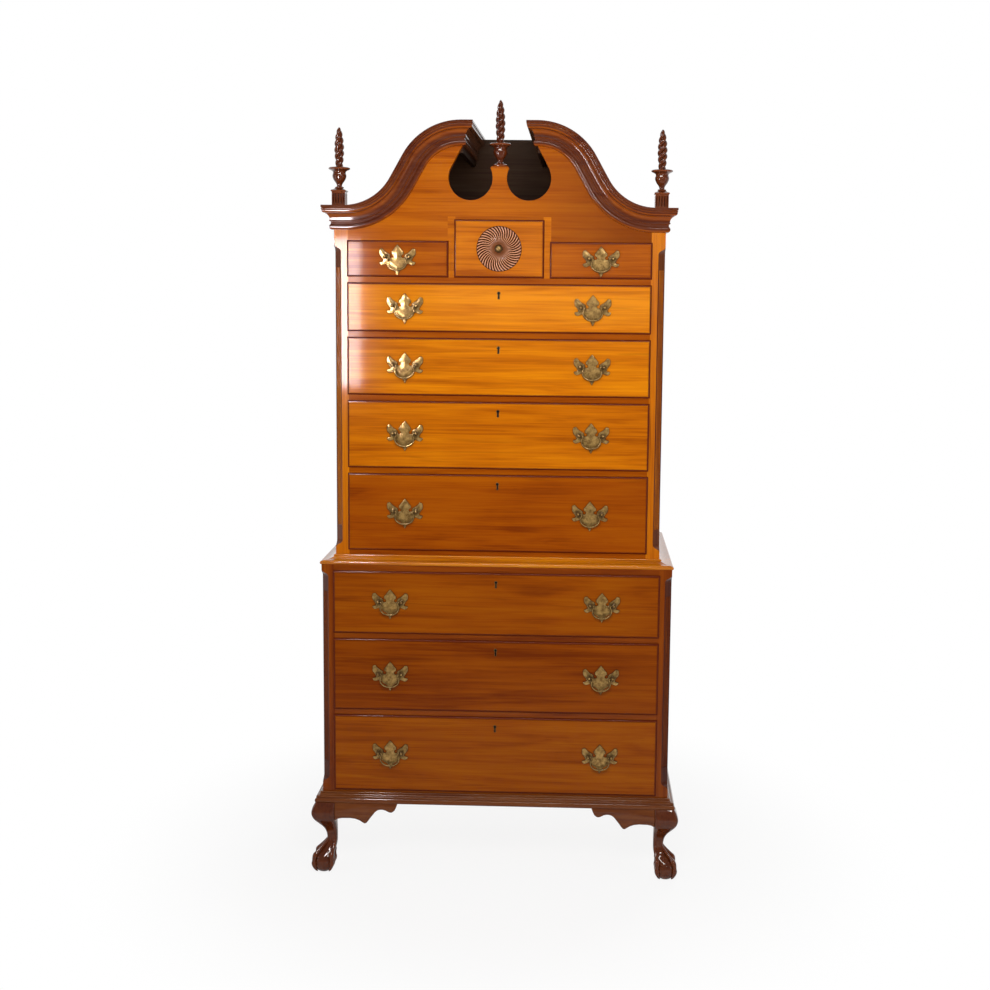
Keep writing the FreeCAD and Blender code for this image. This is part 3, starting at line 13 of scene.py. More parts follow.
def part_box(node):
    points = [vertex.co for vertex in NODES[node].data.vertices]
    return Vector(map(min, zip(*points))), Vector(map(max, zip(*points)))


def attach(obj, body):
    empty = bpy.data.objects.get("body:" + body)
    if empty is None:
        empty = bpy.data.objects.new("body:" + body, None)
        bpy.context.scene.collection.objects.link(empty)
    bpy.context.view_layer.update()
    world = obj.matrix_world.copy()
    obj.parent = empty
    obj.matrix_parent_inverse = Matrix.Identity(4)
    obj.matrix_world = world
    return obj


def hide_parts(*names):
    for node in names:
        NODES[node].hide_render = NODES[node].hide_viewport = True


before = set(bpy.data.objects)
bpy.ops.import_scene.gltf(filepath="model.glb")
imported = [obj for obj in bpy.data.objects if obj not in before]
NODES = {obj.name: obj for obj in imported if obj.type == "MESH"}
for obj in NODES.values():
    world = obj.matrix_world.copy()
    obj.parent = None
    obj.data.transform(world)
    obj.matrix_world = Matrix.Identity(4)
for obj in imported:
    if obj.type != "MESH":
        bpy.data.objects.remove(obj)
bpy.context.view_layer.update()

bl_info = {
    "name": "Highboy",
    "version": (1, 0, 0),
    "blender": (4, 5, 0),
    "location": "3D View > Sidebar > Highboy",
    "description": "Dresses the case, drawers, brasses and carvings of a bonnet-top chest on chest",
    "category": "Object",
}

DRAWERS = [node for node in NODES if node.endswith("_drawer")]
BAILS = [node for node in NODES if node.endswith("_bail")]
MM = 0.001
X, Y, Z = range(3)  # the axes: to the right, backwards and up

# Sizes that more than one function uses
PIN_RISE = 0.0393  # the pins of a bail above its lowest point
FRONT_DEPTH = 0.012  # where a drawer's plain wood starts, behind the case's front
SWIRL_START = 0.45  # the part of the pinwheel's radius where its ribs begin to turn
SWIRL_POWER = 1.6  # the power by which their turn grows from there to the rim

# ---------------------------------------------------------------------------------------------
# Surfaces
# ---------------------------------------------------------------------------------------------


def box(node):
    """A node's lowest and highest corners as arrays."""
    low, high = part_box(node)
    return np.array(low), np.array(high)


def smooth_line(points, count):
    """A smooth line through points: between two of them, the cubic whose slopes at both are half the
    step from the point before to the point after."""
    points = np.asarray(points, float)
    padded = np.vstack([2 * points[0] - points[1], points, 2 * points[-1] - points[-2]])
    where = np.linspace(0, len(points) - 1, count)
    span = np.minimum(where.astype(int), len(points) - 2)
    t = (where - span)[:, None]
    before, start, end, after = (padded[span + k] for k in range(4))
    return 0.5 * (
        2 * start
        + (end - before) * t
        + (2 * before - 5 * start + 4 * end - after) * t**2
        + (3 * start - before - 3 * end + after) * t**3
    )


def shell_faces(rows, columns, first):
    """Quads between neighbouring rings, round each ring, whose points start at a number."""
    row, column = np.meshgrid(np.arange(rows - 1), np.arange(columns), indexing="ij")
    after = (column + 1) % columns
    corners = [row * columns + column, row * columns + after]
    corners += [(row + 1) * columns + after, (row + 1) * columns + column]
    return (np.stack(corners, -1).reshape(-1, 4) + first).tolist()


def smooth_mesh(name, points, faces, sharp=None):
    """A mesh that is shaded smooth, apart from edges sharper than an angle in degrees."""
    mesh = bpy.data.meshes.new(name)
    mesh.from_pydata(points.tolist(), [], faces)
    mesh.polygons.foreach_set("use_smooth", np.ones(len(mesh.polygons), bool))
    mesh.update()
    if sharp is not None:
        mesh.set_sharp_from_angle(angle=math.radians(sharp))
    return mesh


def shell_mesh(name, shells, sharp=None, flat_ends=False):
    """One mesh of closed shells.  Each shell is an array of rings (ring, point, xyz) whose points go
    anticlockwise seen from the end that the rings move towards; both ends are closed by a fan, or by
    one flat face if they may be hollow in outline."""
    points, faces = [], []
    first = 0
    for rings in shells:
        rows, columns = rings.shape[:2]
        faces += shell_faces(rows, columns, first)
        here = np.arange(columns)
        last = first + (rows - 1) * columns
        points.append(rings.reshape(-1, 3))
        if flat_ends:
            faces += [(first + here[::-1]).tolist(), (last + here).tolist()]
            first += rows * columns
            continue
        points.append(np.stack([rings[0].mean(0), rings[-1].mean(0)]))
        after = (here + 1) % columns
        foot = np.full(columns, first + rows * columns)
        faces += np.stack([foot, first + after, first + here], -1).tolist()
        faces += np.stack([foot + 1, last + here, last + after], -1).tolist()
        first += rows * columns + 2
    return smooth_mesh(name, np.vstack(points), faces, sharp)


def place(name, data):
    """A new object in the scene."""
    thing = bpy.data.objects.new(name, data)
    bpy.context.scene.collection.objects.link(thing)
    return thing


def add_piece(name, mesh, body, finish, nodes=()):
    """Puts a new piece in the scene, on a body, in place of CAD nodes if any are named."""
    piece = place(name, mesh)
    mesh.materials.append(finish)
    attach(piece, body)
    if nodes:
        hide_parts(*nodes)


def turned(profile, centre, count=64):
    """A turning: each point (radius, height) of the profile goes round a circle about the centre."""
    profile = np.asarray(profile, float)
    angle = np.linspace(0, 2 * math.pi, count, endpoint=False)
    radius, height = profile[:, :1], profile[:, 1:]
    ring = [radius * np.cos(angle), radius * np.sin(angle), height + 0 * angle]
    return np.stack(ring, -1) + np.asarray(centre, float)


def tube(line, radii, count=16, up=(0, 0, 1)):
    """A tube: at each point of a line, a circle of its radius square to the line there.  Radii may be
    one number or one for each point."""
    line = np.asarray(line, float)
    along = np.gradient(line, axis=0)
    along /= np.linalg.norm(along, axis=1, keepdims=True)
    side = np.cross(np.broadcast_to(np.asarray(up, float), along.shape), along)
    side /= np.linalg.norm(side, axis=1, keepdims=True)
    top = np.cross(along, side)
    angle = np.linspace(0, 2 * math.pi, count, endpoint=False)[None, :, None]
    reach = np.broadcast_to(np.asarray(radii, float), len(line))[:, None, None]
    return line[:, None] + reach * (np.cos(angle) * side[:, None] + np.sin(angle) * top[:, None])


def quarter_turn(shells, times, centre):
    """Shells turned about the vertical through a centre by a number of quarter turns."""
    angle = times * math.pi / 2
    turn = np.array(
        [[math.cos(angle), -math.sin(angle), 0], [math.sin(angle), math.cos(angle), 0], [0, 0, 1]]
    )
    return [rings @ turn.T + np.asarray(centre, float) for rings in shells]


# ---------------------------------------------------------------------------------------------
# Materials
# ---------------------------------------------------------------------------------------------


class Nodes:
    """Short ways to add shader nodes to a material or a world."""

    def __init__(self, owner, shader="Principled BSDF", coordinates="Object"):
        owner.use_nodes = True
        self.owner = owner
        self.tree = owner.node_tree
        self.shader = self.tree.nodes[shader]
        self.position = self.add("ShaderNodeTexCoord").outputs[coordinates]

    def add(self, kind, **settings):
        node = self.tree.nodes.new(kind)
        for key, value in settings.items():
            setattr(node, key, value)
        return node

    def put(self, socket, value):
        """Links a socket to another, or sets it to a constant."""
        if isinstance(value, bpy.types.NodeSocket):
            self.tree.links.new(value, socket)
        else:
            socket.default_value = value

    def fill(self, node, inputs):
        """Puts values into a node's inputs, which are given by name or number."""
        for key, value in inputs.items():
            self.put(node.inputs[key], value)
        return node

    def math(self, operation, a, b=0.0, clamp=False):
        node = self.add("ShaderNodeMath", operation=operation, use_clamp=clamp)
        return self.fill(node, {0: a, 1: b}).outputs[0]

    def plus(self, a, b):
        return self.math("ADD", a, b)

    def times(self, a, b):
        return self.math("MULTIPLY", a, b)

    def opposite(self, value):
        """One less a value."""
        return self.math("SUBTRACT", 1.0, value)

    def mapped(self, scale, shift=(0, 0, 0)):
        """The position times a scale, plus a shift."""
        node = self.add("ShaderNodeMapping")
        return self.fill(node, {"Vector": self.position, "Scale": scale, "Location": shift}).outputs[0]

    def noise(self, vector, scale, detail=4.0, roughness=0.6, distortion=0.0):
        node = self.fill(self.add("ShaderNodeTexNoise"), {
            "Vector": vector, "Scale": scale, "Detail": detail, "Roughness": roughness,
            "Distortion": distortion,
        })
        return node.outputs["Fac"]

    def ramp(self, factor, stops):
        """Colours that blend from one stop (place, colour) to the next."""
        node = self.fill(self.add("ShaderNodeValToRGB"), {"Fac": factor})
        elements = node.color_ramp.elements
        while len(elements) < len(stops):
            elements.new(0.5)
        for element, (place, colour) in zip(elements, stops):
            element.position = place
            element.color = (*colour, 1)
        return node.outputs["Color"]

    def grey(self, factor, low, high, steps="SMOOTHSTEP"):
        """Zero below low, one above high, and a climb between them."""
        node = self.add("ShaderNodeMapRange", interpolation_type=steps)
        return self.fill(node, {"Value": factor, "From Min": low, "From Max": high}).outputs["Result"]

    def mix(self, factor, a, b):
        """Colour a where the factor is zero, and b where it is one."""
        a, b = ((*colour, 1) if isinstance(colour, tuple) else colour for colour in (a, b))
        node = self.add("ShaderNodeMix", data_type="RGBA")
        return self.fill(node, {0: factor, 6: a, 7: b}).outputs[2]

    def split(self, vector):
        return self.fill(self.add("ShaderNodeSeparateXYZ"), {0: vector}).outputs

    def bump(self, height, distance, strength):
        node = self.add("ShaderNodeBump")
        self.fill(node, {"Height": height, "Distance": distance, "Strength": strength})
        self.put(self.shader.inputs["Normal"], node.outputs["Normal"])

    def facing(self, axis, sign=1.0):
        """How far a surface looks along an axis: one if straight, zero if edge on."""
        normal = self.add("ShaderNodeNewGeometry").outputs["Normal"]
        return self.times(self.split(normal)[axis], sign)

    def painted_crevice_shade(self, reach):
        """A mask for painted shade: one where another surface stands closer than a reach, and zero in the
        open.
        """
        node = self.fill(self.add("ShaderNodeAmbientOcclusion", samples=8), {"Distance": reach})
        return self.opposite(self.grey(node.outputs["AO"], 0.66, 0.97))

    def finish(self, colour, roughness, coat=0.0, coat_roughness=0.1, specular=0.5, metallic=0.0):
        self.fill(self.shader, {
            "Base Color": colour, "Roughness": roughness, "Coat Weight": coat,
            "Coat Roughness": coat_roughness, "Specular IOR Level": specular, "Metallic": metallic,
        })
        return self.owner


def new_finish(name):
    """The nodes of a new material."""
    return Nodes(bpy.data.materials.new(name))


def darker(colour, factor):
    """A colour times a factor."""
    return tuple(channel * factor for channel in colour)


def shades(colour, factor=1.0):
    """The dark, middle and light tones of a wood about its colour times a factor: darker wood is
    redder, and lighter wood yellower."""
    red, green, blue = (channel * factor for channel in colour)
    green *= factor**0.55
    return (
        (red * 0.62, green * 0.50, blue * 0.8),
        (red, green, blue),
        (min(red * 1.24, 1.0), green * 1.46, blue * 1.6),
    )


def grain(nodes, axis, tones, seed=0.0):
    """Colour and relief of straight-grained wood along an axis: soft clouds, broad bands, fine streaks and
    short dark pores, in a dark, a middle and a light tone.  The seed shifts the pattern so that two
    boards differ."""

    def stretched(along, across):
        scale = [across] * 3
        scale[axis] = along
        return nodes.mapped(tuple(scale), (seed, 0.7 * seed, 1.3 * seed))

    clouds = nodes.noise(stretched(2.2, 4.5), 1.0, 3.0, 0.5, 0.6)
    bands = nodes.noise(stretched(1.3, 24.0), 1.0, 4.0, 0.6, 1.3)
    lines = nodes.noise(stretched(4.5, 190.0), 1.0, 3.0, 0.6, 0.3)
    broad = nodes.plus(nodes.times(bands, 0.46), nodes.times(clouds, 0.26))
    tone = nodes.plus(broad, nodes.times(lines, 0.28))
    dark, middle, light = tones
    colour = nodes.ramp(tone, [(0.38, dark), (0.50, middle), (0.62, light)])
    veins = nodes.grey(nodes.noise(stretched(1.7, 42.0), 1.0, 2.0, 0.5, 1.8), 0.60, 0.74)
    colour = nodes.mix(nodes.times(veins, 0.3), colour, darker(dark, 0.62))
    pores = nodes.grey(nodes.noise(stretched(26.0, 620.0), 1.0, 1.0), 0.70, 0.80)
    colour = nodes.mix(nodes.times(pores, 0.35), colour, darker(dark, 0.40))
    return colour, nodes.plus(lines, pores)


def polish(nodes, relief, roughness, wear=0.12, depth=0.00010):
    """Faint relief under the polish, and a polish that is worn in places."""
    nodes.bump(relief, depth, 0.3)
    haze = nodes.noise(nodes.mapped((5.0, 5.0, 5.0)), 1.0, 4.0)
    return nodes.plus(nodes.times(haze, wear), roughness - wear / 2)


def wood(name, axis, tones, roughness=0.24, coat=0.10, seed=0.0, depth=0.00010):
    """Polished wood with the grain along an axis."""
    nodes = new_finish(name)
    colour, relief = grain(nodes, axis, tones, seed)
    rough = polish(nodes, relief, roughness, wear=0.08, depth=depth)
    return nodes.finish(colour, rough, coat, coat_roughness=0.09, specular=0.08)


def scroll_board(name, tones, reach):
    """The scroll board, with painted shade that darkens it towards its right-hand end."""
    nodes = new_finish(name)
    colour, relief = grain(nodes, X, tones, 2.0)
    # Painted shade: the mask darkens the board towards its right-hand end
    old = nodes.grey(nodes.split(nodes.position)[X], -0.15 * reach, reach)
    colour = nodes.mix(nodes.times(old, 0.75), colour, darker(tones[0], 0.62))
    rough = polish(nodes, relief, 0.24)
    return nodes.finish(colour, rough, coat=0.12, coat_roughness=0.08, specular=0.03)


def rail_wood(name, rails, dividers, row):
    """Rails, and the lighter dividers and board of the top row, which start at a height."""
    nodes = new_finish(name)
    low, relief = grain(nodes, X, rails)
    high, _ = grain(nodes, X, dividers)
    height = nodes.split(nodes.position)[Z]
    colour = nodes.mix(nodes.grey(height, row - 0.001, row + 0.001), low, high)
    rough = polish(nodes, relief, 0.24)
    return nodes.finish(colour, rough, coat=0.12, coat_roughness=0.08, specular=0.03)


def crown_wood(name, reds, ambers):
    """The crown: red-brown, and a lighter amber where it looks down over the front, which is painted
    light.
    """
    nodes = new_finish(name)
    red, relief = grain(nodes, X, reds)
    amber, _ = grain(nodes, X, ambers)
    # Painted light: faces that look down take the lighter amber copy of the wood
    colour = nodes.mix(nodes.grey(nodes.facing(Z, -1.0), 0.15, 0.55), red, amber)
    rough = polish(nodes, relief, 0.20, wear=0.08, depth=0.00001)
    return nodes.finish(colour, rough, coat=0.5, coat_roughness=0.10, specular=0.12)


def drawer_wood(name, tones, edge, plain, face, seed):
    """A drawer: a polished front whose red rounded lip is partly painted shade where it turns away from
    the front, painted shade where it meets the case and under the pulls, and plain wood behind it.  The
    face is the depth of the case's front."""
    nodes = new_finish(name)
    colour, relief = grain(nodes, X, tones, seed)
    depth = nodes.split(nodes.position)[Y]
    # Painted shade, partly: the rounded lip and the step beside it take the darker red where they turn
    # away from the front
    rounded = nodes.opposite(nodes.grey(nodes.facing(Y, -1.0), 0.955, 0.998))
    in_front = nodes.opposite(nodes.grey(depth, face - 0.0002, face + 0.0002))
    colour = nodes.mix(nodes.times(rounded, in_front), colour, edge)
    # Painted shade where the front meets the case and under the pulls
    colour = nodes.mix(nodes.times(nodes.painted_crevice_shade(0.010), 0.85), colour, darker(edge, 0.5))
    ends, _ = grain(nodes, X, shades(plain), seed)
    sides, _ = grain(nodes, Y, shades(plain), seed)
    sideways = nodes.math("ABSOLUTE", nodes.facing(X))
    plain_colour = nodes.mix(nodes.grey(sideways, 0.4, 0.6), ends, sides)
    behind = nodes.grey(depth, face + FRONT_DEPTH - 0.0005, face + FRONT_DEPTH + 0.0005)
    colour = nodes.mix(behind, colour, plain_colour)
    rough = nodes.plus(polish(nodes, relief, 0.21, wear=0.08), nodes.times(behind, 0.4))
    coat = nodes.times(nodes.opposite(behind), 0.20)
    return nodes.finish(colour, rough, coat, coat_roughness=0.09, specular=0.03)


def post_wood(name, fronts, reds):
    """Corner posts and stiles: the parts that face forward like the fronts, the rest a darker red that is
    painted shade.
    """
    nodes = new_finish(name)
    front, relief = grain(nodes, Z, fronts)
    red, _ = grain(nodes, Z, reds)
    # Painted light and shade: forward faces take the lit amber copy, the chamfers and sides the darker red
    # one
    colour = nodes.mix(nodes.grey(nodes.facing(Y, -1.0), 0.90, 0.98), red, front)
    rough = polish(nodes, relief, 0.22, wear=0.08)
    return nodes.finish(colour, rough, coat=0.3, coat_roughness=0.09, specular=0.08)


def pinwheel_wood(name, tones, crest, centre, shape):
    """The pinwheel: round the centre, a rib's crest has a painted highlight and the groove beside it
    painted shade, nearly black, as does a ring at the rim.
    The rib at a place is the size of the cosine of half the blades times its angle less its turn."""
    nodes = new_finish(name)
    colour, relief = grain(nodes, X, tones)
    across, _, up = nodes.split(nodes.position)
    across = nodes.math("SUBTRACT", across, centre[0])
    up = nodes.math("SUBTRACT", up, centre[2])
    square = nodes.plus(nodes.times(across, across), nodes.times(up, up))
    part = nodes.math("DIVIDE", nodes.math("SQRT", square), shape.radius)
    outer = nodes.math("DIVIDE", nodes.math("SUBTRACT", part, SWIRL_START), 1 - SWIRL_START, True)
    turn = nodes.times(nodes.math("POWER", outer, SWIRL_POWER), shape.swirl)
    angle = nodes.math("SUBTRACT", nodes.math("ARCTAN2", up, across), turn)
    wave = nodes.math("ABSOLUTE", nodes.math("COSINE", nodes.times(angle, shape.blades / 2)))
    carved = nodes.grey(part, 0.22, 0.45)
    # Painted shade in the grooves, and a painted highlight on the crests
    groove = nodes.times(nodes.opposite(nodes.grey(wave, 0.25, 0.80)), carved)
    top = nodes.times(nodes.grey(wave, 0.72, 0.98), carved)
    colour = nodes.mix(nodes.times(top, 0.9), colour, crest)
    # Painted shade in a dark ring at the rim
    rim = nodes.grey(part, 0.95, 0.99)
    colour = nodes.mix(nodes.math("MAXIMUM", groove, rim), colour, darker(tones[0], 0.26))
    rough = polish(nodes, relief, 0.24, wear=0.08, depth=0.00004)
    return nodes.finish(colour, rough, coat=0.35, coat_roughness=0.10, specular=0.12)


def carved_wood(name, tones):
    """Carved and turned wood: painted shade darkens the hollows, and a painted highlight makes the ridges
    pale.
    """
    nodes = new_finish(name)
    colour, relief = grain(nodes, Z, tones)
    shape = nodes.add("ShaderNodeNewGeometry").outputs["Pointiness"]
    # Painted shade in the hollows and a painted highlight on the ridges, found from the surface's
    # pointiness
    hollow = nodes.opposite(nodes.grey(shape, 0.43, 0.495))
    ridge = nodes.grey(shape, 0.51, 0.58)
    colour = nodes.mix(nodes.times(hollow, 0.85), colour, darker(tones[0], 0.25))
    colour = nodes.mix(nodes.times(ridge, 0.6), colour, darker(tones[2], 1.9))
    rough = polish(nodes, relief, 0.14, wear=0.06, depth=0.00002)
    return nodes.finish(colour, rough, coat=0.8, coat_roughness=0.06, specular=0.1)


def board_wood(name, inside, outside):
    """Unpolished boards: nearly black where they look forward or down, which is painted shade inside the
    bonnet, and browner behind.
    """
    nodes = new_finish(name)
    dark, relief = grain(nodes, X, inside)
    brown, _ = grain(nodes, X, outside)
    # Painted shade: faces that look forward or down take the nearly black copy
    colour = nodes.mix(nodes.grey(nodes.facing(Y), 0.2, 0.8), dark, brown)
    return nodes.finish(colour, polish(nodes, relief, 0.62), specular=0.12)


def aged_brass(name, colour, dull, locks=None):
    """Rubbed brass: brown-green tarnish in patches, small pits and a soft shine, with painted shade in a
    dull colour on all that doesn't face forward and where pieces meet.  Behind a depth, if given, it is
    the dark iron of locks and nuts."""
    nodes = new_finish(name)
    patches = nodes.noise(nodes.mapped((1, 1, 1)), 95.0, 5.0, 0.65)
    fine = nodes.noise(nodes.mapped((1, 1, 1)), 650.0, 3.0)
    stain = nodes.grey(patches, 0.34, 0.68)
    shade = nodes.mix(stain, colour, dull)
    shade = nodes.mix(nodes.times(nodes.grey(fine, 0.52, 0.72), 0.6), shade, darker(dull, 0.45))
    # Painted shade on the faces that don't look forward
    painted_side_shade = nodes.opposite(nodes.grey(nodes.facing(Y, -1.0), 0.80, 0.992))
    shade = nodes.mix(nodes.times(painted_side_shade, 0.85), shade, darker(dull, 0.30))
    # Painted shade where pieces meet, as a contact shadow
    shade = nodes.mix(nodes.times(nodes.painted_crevice_shade(0.014), 0.9), shade, darker(dull, 0.20))
    if locks is not None:
        iron = nodes.grey(nodes.split(nodes.position)[Y], locks, locks + 0.002)
        shade = nodes.mix(iron, shade, (0.008, 0.006, 0.005))
    nodes.bump(nodes.plus(fine, nodes.times(patches, 2.5)), 0.0003, 0.16)
    rough = nodes.plus(nodes.times(patches, 0.18), 0.12)
    return nodes.finish(shade, rough, specular=0.4, metallic=0.45)


# ---------------------------------------------------------------------------------------------
# Settings
# ---------------------------------------------------------------------------------------------


def colour_setting(name, description, default):
    """A property that holds a colour."""
    return FloatVectorProperty(
        name=name, description=description, subtype="COLOR", size=3, min=0, max=1, default=default
    )


def length_setting(name, description, default):
    """A property that holds a length in metres."""
    return FloatProperty(
        name=name, description=description, default=default, min=0, unit="LENGTH", subtype="DISTANCE"
    )


class WoodSettings(PropertyGroup):
    """Tones of the woods and the brass."""

    front: colour_setting("Front", "Upper drawer fronts", (0.66, 0.200, 0.0012))
    low: colour_setting("Lower front", "Lower drawer fronts", (0.280, 0.060, 0.0008))
    # The lip colour is partly painted shade on the rounded edges that turn away from the front
    lip: colour_setting("Lip", "Rounded edges of the drawer fronts", (0.12, 0.018, 0.004))
    carved: colour_setting("Mouldings", "Red wood of the mouldings and carvings", (0.090, 0.017, 0.004))
    # The crests' colour is a painted highlight
    crest: colour_setting("Crests", "Rubbed crests of the pinwheel's ribs", (0.66, 0.30, 0.16))
    plain: colour_setting("Plain wood", "Drawer sides and inner boards", (0.42, 0.27, 0.13))
    # This dark tone is painted shade for the inside of the bonnet; the backs take it lightened
    old_back_and_shade: colour_setting("Old boards", "Unpolished backs and roof", (0.044, 0.021, 0.011))
    brass: colour_setting("Brass", "Rubbed brass of the pulls", (0.56, 0.35, 0.110))
    tarnish: colour_setting("Tarnish", "Dull parts of the brass", (0.22, 0.120, 0.034))


class FinialSettings(PropertyGroup):
    """The cups and flames."""

    lobes: IntProperty(name="Lobes", description="Strands of a flame", default=3, min=2, max=6)
    turn_height: length_setting("Turn", "Height in which a strand goes once round", 0.056)
    flame_radius: length_setting("Flame", "Largest reach of a flame", 0.0142)
    rim_radius: length_setting("Rim", "Lip of a cup", 0.0308)


class FootSettings(PropertyGroup):
    """The cabriole legs and their claws."""

    ball_radius: length_setting("Ball", "Radius of the ball", 0.033)
    talon: length_setting("Talon", "Radius of a talon at its knuckle", 0.0072)
    bracket: length_setting("Bracket", "Length of a knee bracket", 0.185)


class CarvingSettings(PropertyGroup):
    """The pinwheel and its knob."""

    blades: IntProperty(name="Blades", description="Ribs of the pinwheel", default=42, min=8)
    radius: length_setting("Radius", "Reach of the pinwheel", 0.0645)
    swirl: FloatProperty(
        name="Swirl", description="How far a rib turns on its way out", default=math.radians(17),
        subtype="ANGLE",
    )


class StageSettings(PropertyGroup):
    """Camera, floor and lamps."""

    lens: FloatProperty(name="Lens", description="Focal length in millimetres", default=47.857, min=10)
    place: FloatVectorProperty(
        name="Camera", description="Where the camera stands", subtype="TRANSLATION",
        default=(0.2331, -3.9910, 1.7432),
    )
    yaw: FloatProperty(name="Yaw", description="Turn to the right", default=-0.0295, subtype="ANGLE")
    pitch: FloatProperty(name="Pitch", description="Tilt down", default=0.1074, subtype="ANGLE")
    roll: FloatProperty(name="Roll", description="Lean", default=0.0106, subtype="ANGLE")
    shift: FloatVectorProperty(
        name="Shift", description="Shift of the picture, in widths", size=2, default=(-0.0455, -0.0697)
    )


SETTINGS = {
    "highboy_woods": WoodSettings,
    "highboy_finials": FinialSettings,
    "highboy_feet": FootSettings,
    "highboy_carving": CarvingSettings,
    "highboy_stage": StageSettings,
}


def setting(name):
    """A group of this scene's settings."""
    return getattr(bpy.context.scene, "highboy_" + name)


def material(name):
    """A finish that was made before, by its name."""
    found = bpy.data.materials.get(name)
    if found is None:
        raise RuntimeError("the finishes are made first: " + name)
    return found


# ---------------------------------------------------------------------------------------------
# Operators
# ---------------------------------------------------------------------------------------------

# How light each drawer front is beside the colour of its case: partly the board's own tone, partly painted
# shade that follows how the fronts are lit
BOARD_TONES_AND_SHADE = {
    "upper_fourth_drawer": 0.90,
    "upper_third_drawer": 0.86,
    "upper_second_drawer": 0.77,
    "upper_first_drawer": 0.47,
    "left_corner_drawer": 0.54,
    "right_corner_drawer": 0.54,
    "carved_drawer": 0.77,
    "lower_top_drawer": 0.98,
    "lower_middle_drawer": 0.86,
    "lower_bottom_drawer": 1.05,
}
# The finishes of the CAD nodes that have one of their own
FINISHES = {
    "tympanum": "tympanum wood",
    "upper_drawer_rails": "upper rail wood",
    "lower_drawer_rails": "lower rail wood",
    "waist_moulding": "waist wood",
    "cornice_mouldings": "crown wood",
    "upper_corner_posts": "upper posts",
    "lower_corner_posts": "lower posts",
    "drawer_runners": "plain wood",
    "case_boards": "plain wood",
    "lower_back_boards": "old boards",
    "upper_back_boards": "old boards",
    "bonnet_boards": "old boards",
}


def finish_of(node):
    """The finish of a CAD node, by what it is."""
    if node.endswith("_drawer"):
        return node
    if node.endswith("_bail"):
        return "rubbed brass"
    if node.endswith("_brasses"):
        return ("lower" if node.startswith("lower") else "upper") + " brasses"
    if node.endswith("_side"):
        return "upright side wood"
    if node.endswith(("_finial", "_foot", "_feet")):
        return "carved wood"
    return FINISHES.get(node, "level red wood")


def case_front(node):
    """The depth of the front of the case that a node belongs to."""
    rails = "lower_drawer_rails" if node.startswith("lower") else "upper_drawer_rails"
    return box(rails)[0][1]


class HIGHBOY_OT_finishes(Operator):
    """Make the woods and the brass, and give them to the CAD pieces"""

    bl_idname = "highboy.finishes"
    bl_label = "Finishes"

    def execute(self, context):
        tones = setting("woods")
        front, low, carved = tuple(tones.front), tuple(tones.low), tuple(tones.carved)
        plain, old = tuple(tones.plain), tuple(tones.old_back_and_shade)
        brass, tarnish = tuple(tones.brass), tuple(tones.tarnish)
        for seed, name in enumerate(DRAWERS, start=1):
            board = shades(low if name.startswith("lower") else front, BOARD_TONES_AND_SHADE[name])
            drawer_wood(name, board, tuple(tones.lip), plain, case_front(name), 3.7 * seed)
        # The scroll board's lower tone beside the fronts is painted shade, standing in for the light
        # falling off above the drawers
        scroll_board("tympanum wood", shades(front, 0.60), box("tympanum")[1][0])
        row = box("carved_drawer")[0][2]
        rail_wood("upper rail wood", shades(front, 0.48), shades(front, 0.74), row)
        wood("lower rail wood", X, shades(low, 0.85), roughness=0.22, coat=0.3, seed=5.0)
        wood("waist wood", X, shades(low, 1.9), roughness=0.20, coat=0.9, seed=7.0)
        wood("upright side wood", Z, shades(low, 0.9))
        wood("level red wood", X, shades(carved, 1.8), roughness=0.16, coat=0.7, depth=0.00002)
        post_wood("upper posts", shades(front, 0.78), shades(carved, 1.5))
        post_wood("lower posts", shades(low, 0.80), shades(carved))
        crown_wood("crown wood", shades(carved, 1.1), shades(low, 0.9))
        carved_wood("carved wood", shades(carved, 1.2))
        middle = sum(box("carved_drawer")) / 2
        pinwheel_wood("pinwheel wood", shades(carved, 1.8), tuple(tones.crest), middle, setting("carving"))
        wood("plain wood", X, shades(plain), roughness=0.6, coat=0.0)
        # The dark tone paints shade on the boards that look forward or down inside the bonnet
        board_wood("old boards", shades(old), shades(old, 1.9))
        # The near-black keyhole finish is painted shade
        wood("keyhole shade", Z, shades((0.004, 0.003, 0.002)), roughness=0.7, coat=0.0)
        aged_brass("rubbed brass", brass, tarnish)
        locks = 0.006  # the locks and nuts start this far behind the case's front
        for case in ("lower", "upper"):
            aged_brass(case + " brasses", brass, tarnish, case_front(case) + locks)
        for name, cad in NODES.items():
            cad.data.materials.clear()
            cad.data.materials.append(material(finish_of(name)))
        return {"FINISHED"}


def flame(base, height, shape):
    """A flame: at a height, the reach in a direction is the flame's size there times 0.55 plus 0.45
    times the size of the cosine of half the lobes times the direction less the twist, which grows
    evenly with height; the size swells to its most at two fifths and ends in a blunt tip."""
    part = np.linspace(0, 1, 150)[:, None]
    angle = np.linspace(0, 2 * math.pi, 96, endpoint=False)[None]
    knots = ((0, 0.76), (0.12, 0.82), (0.42, 1.0), (0.70, 0.86), (0.88, 0.58), (0.97, 0.28), (1, 0.06))
    size = smooth_line(knots, 200)
    size = np.interp(part[:, 0], size[:, 0], size[:, 1])[:, None] * shape.flame_radius
    twist = 2 * math.pi * part * height / shape.turn_height
    wave = np.abs(np.cos(shape.lobes * (angle - twist) / 2)) ** 0.9
    reach = size * (0.55 + 0.45 * wave)
    ring = [reach * np.cos(angle), reach * np.sin(angle), part * height + 0 * angle]
    return np.stack(ring, -1) + base


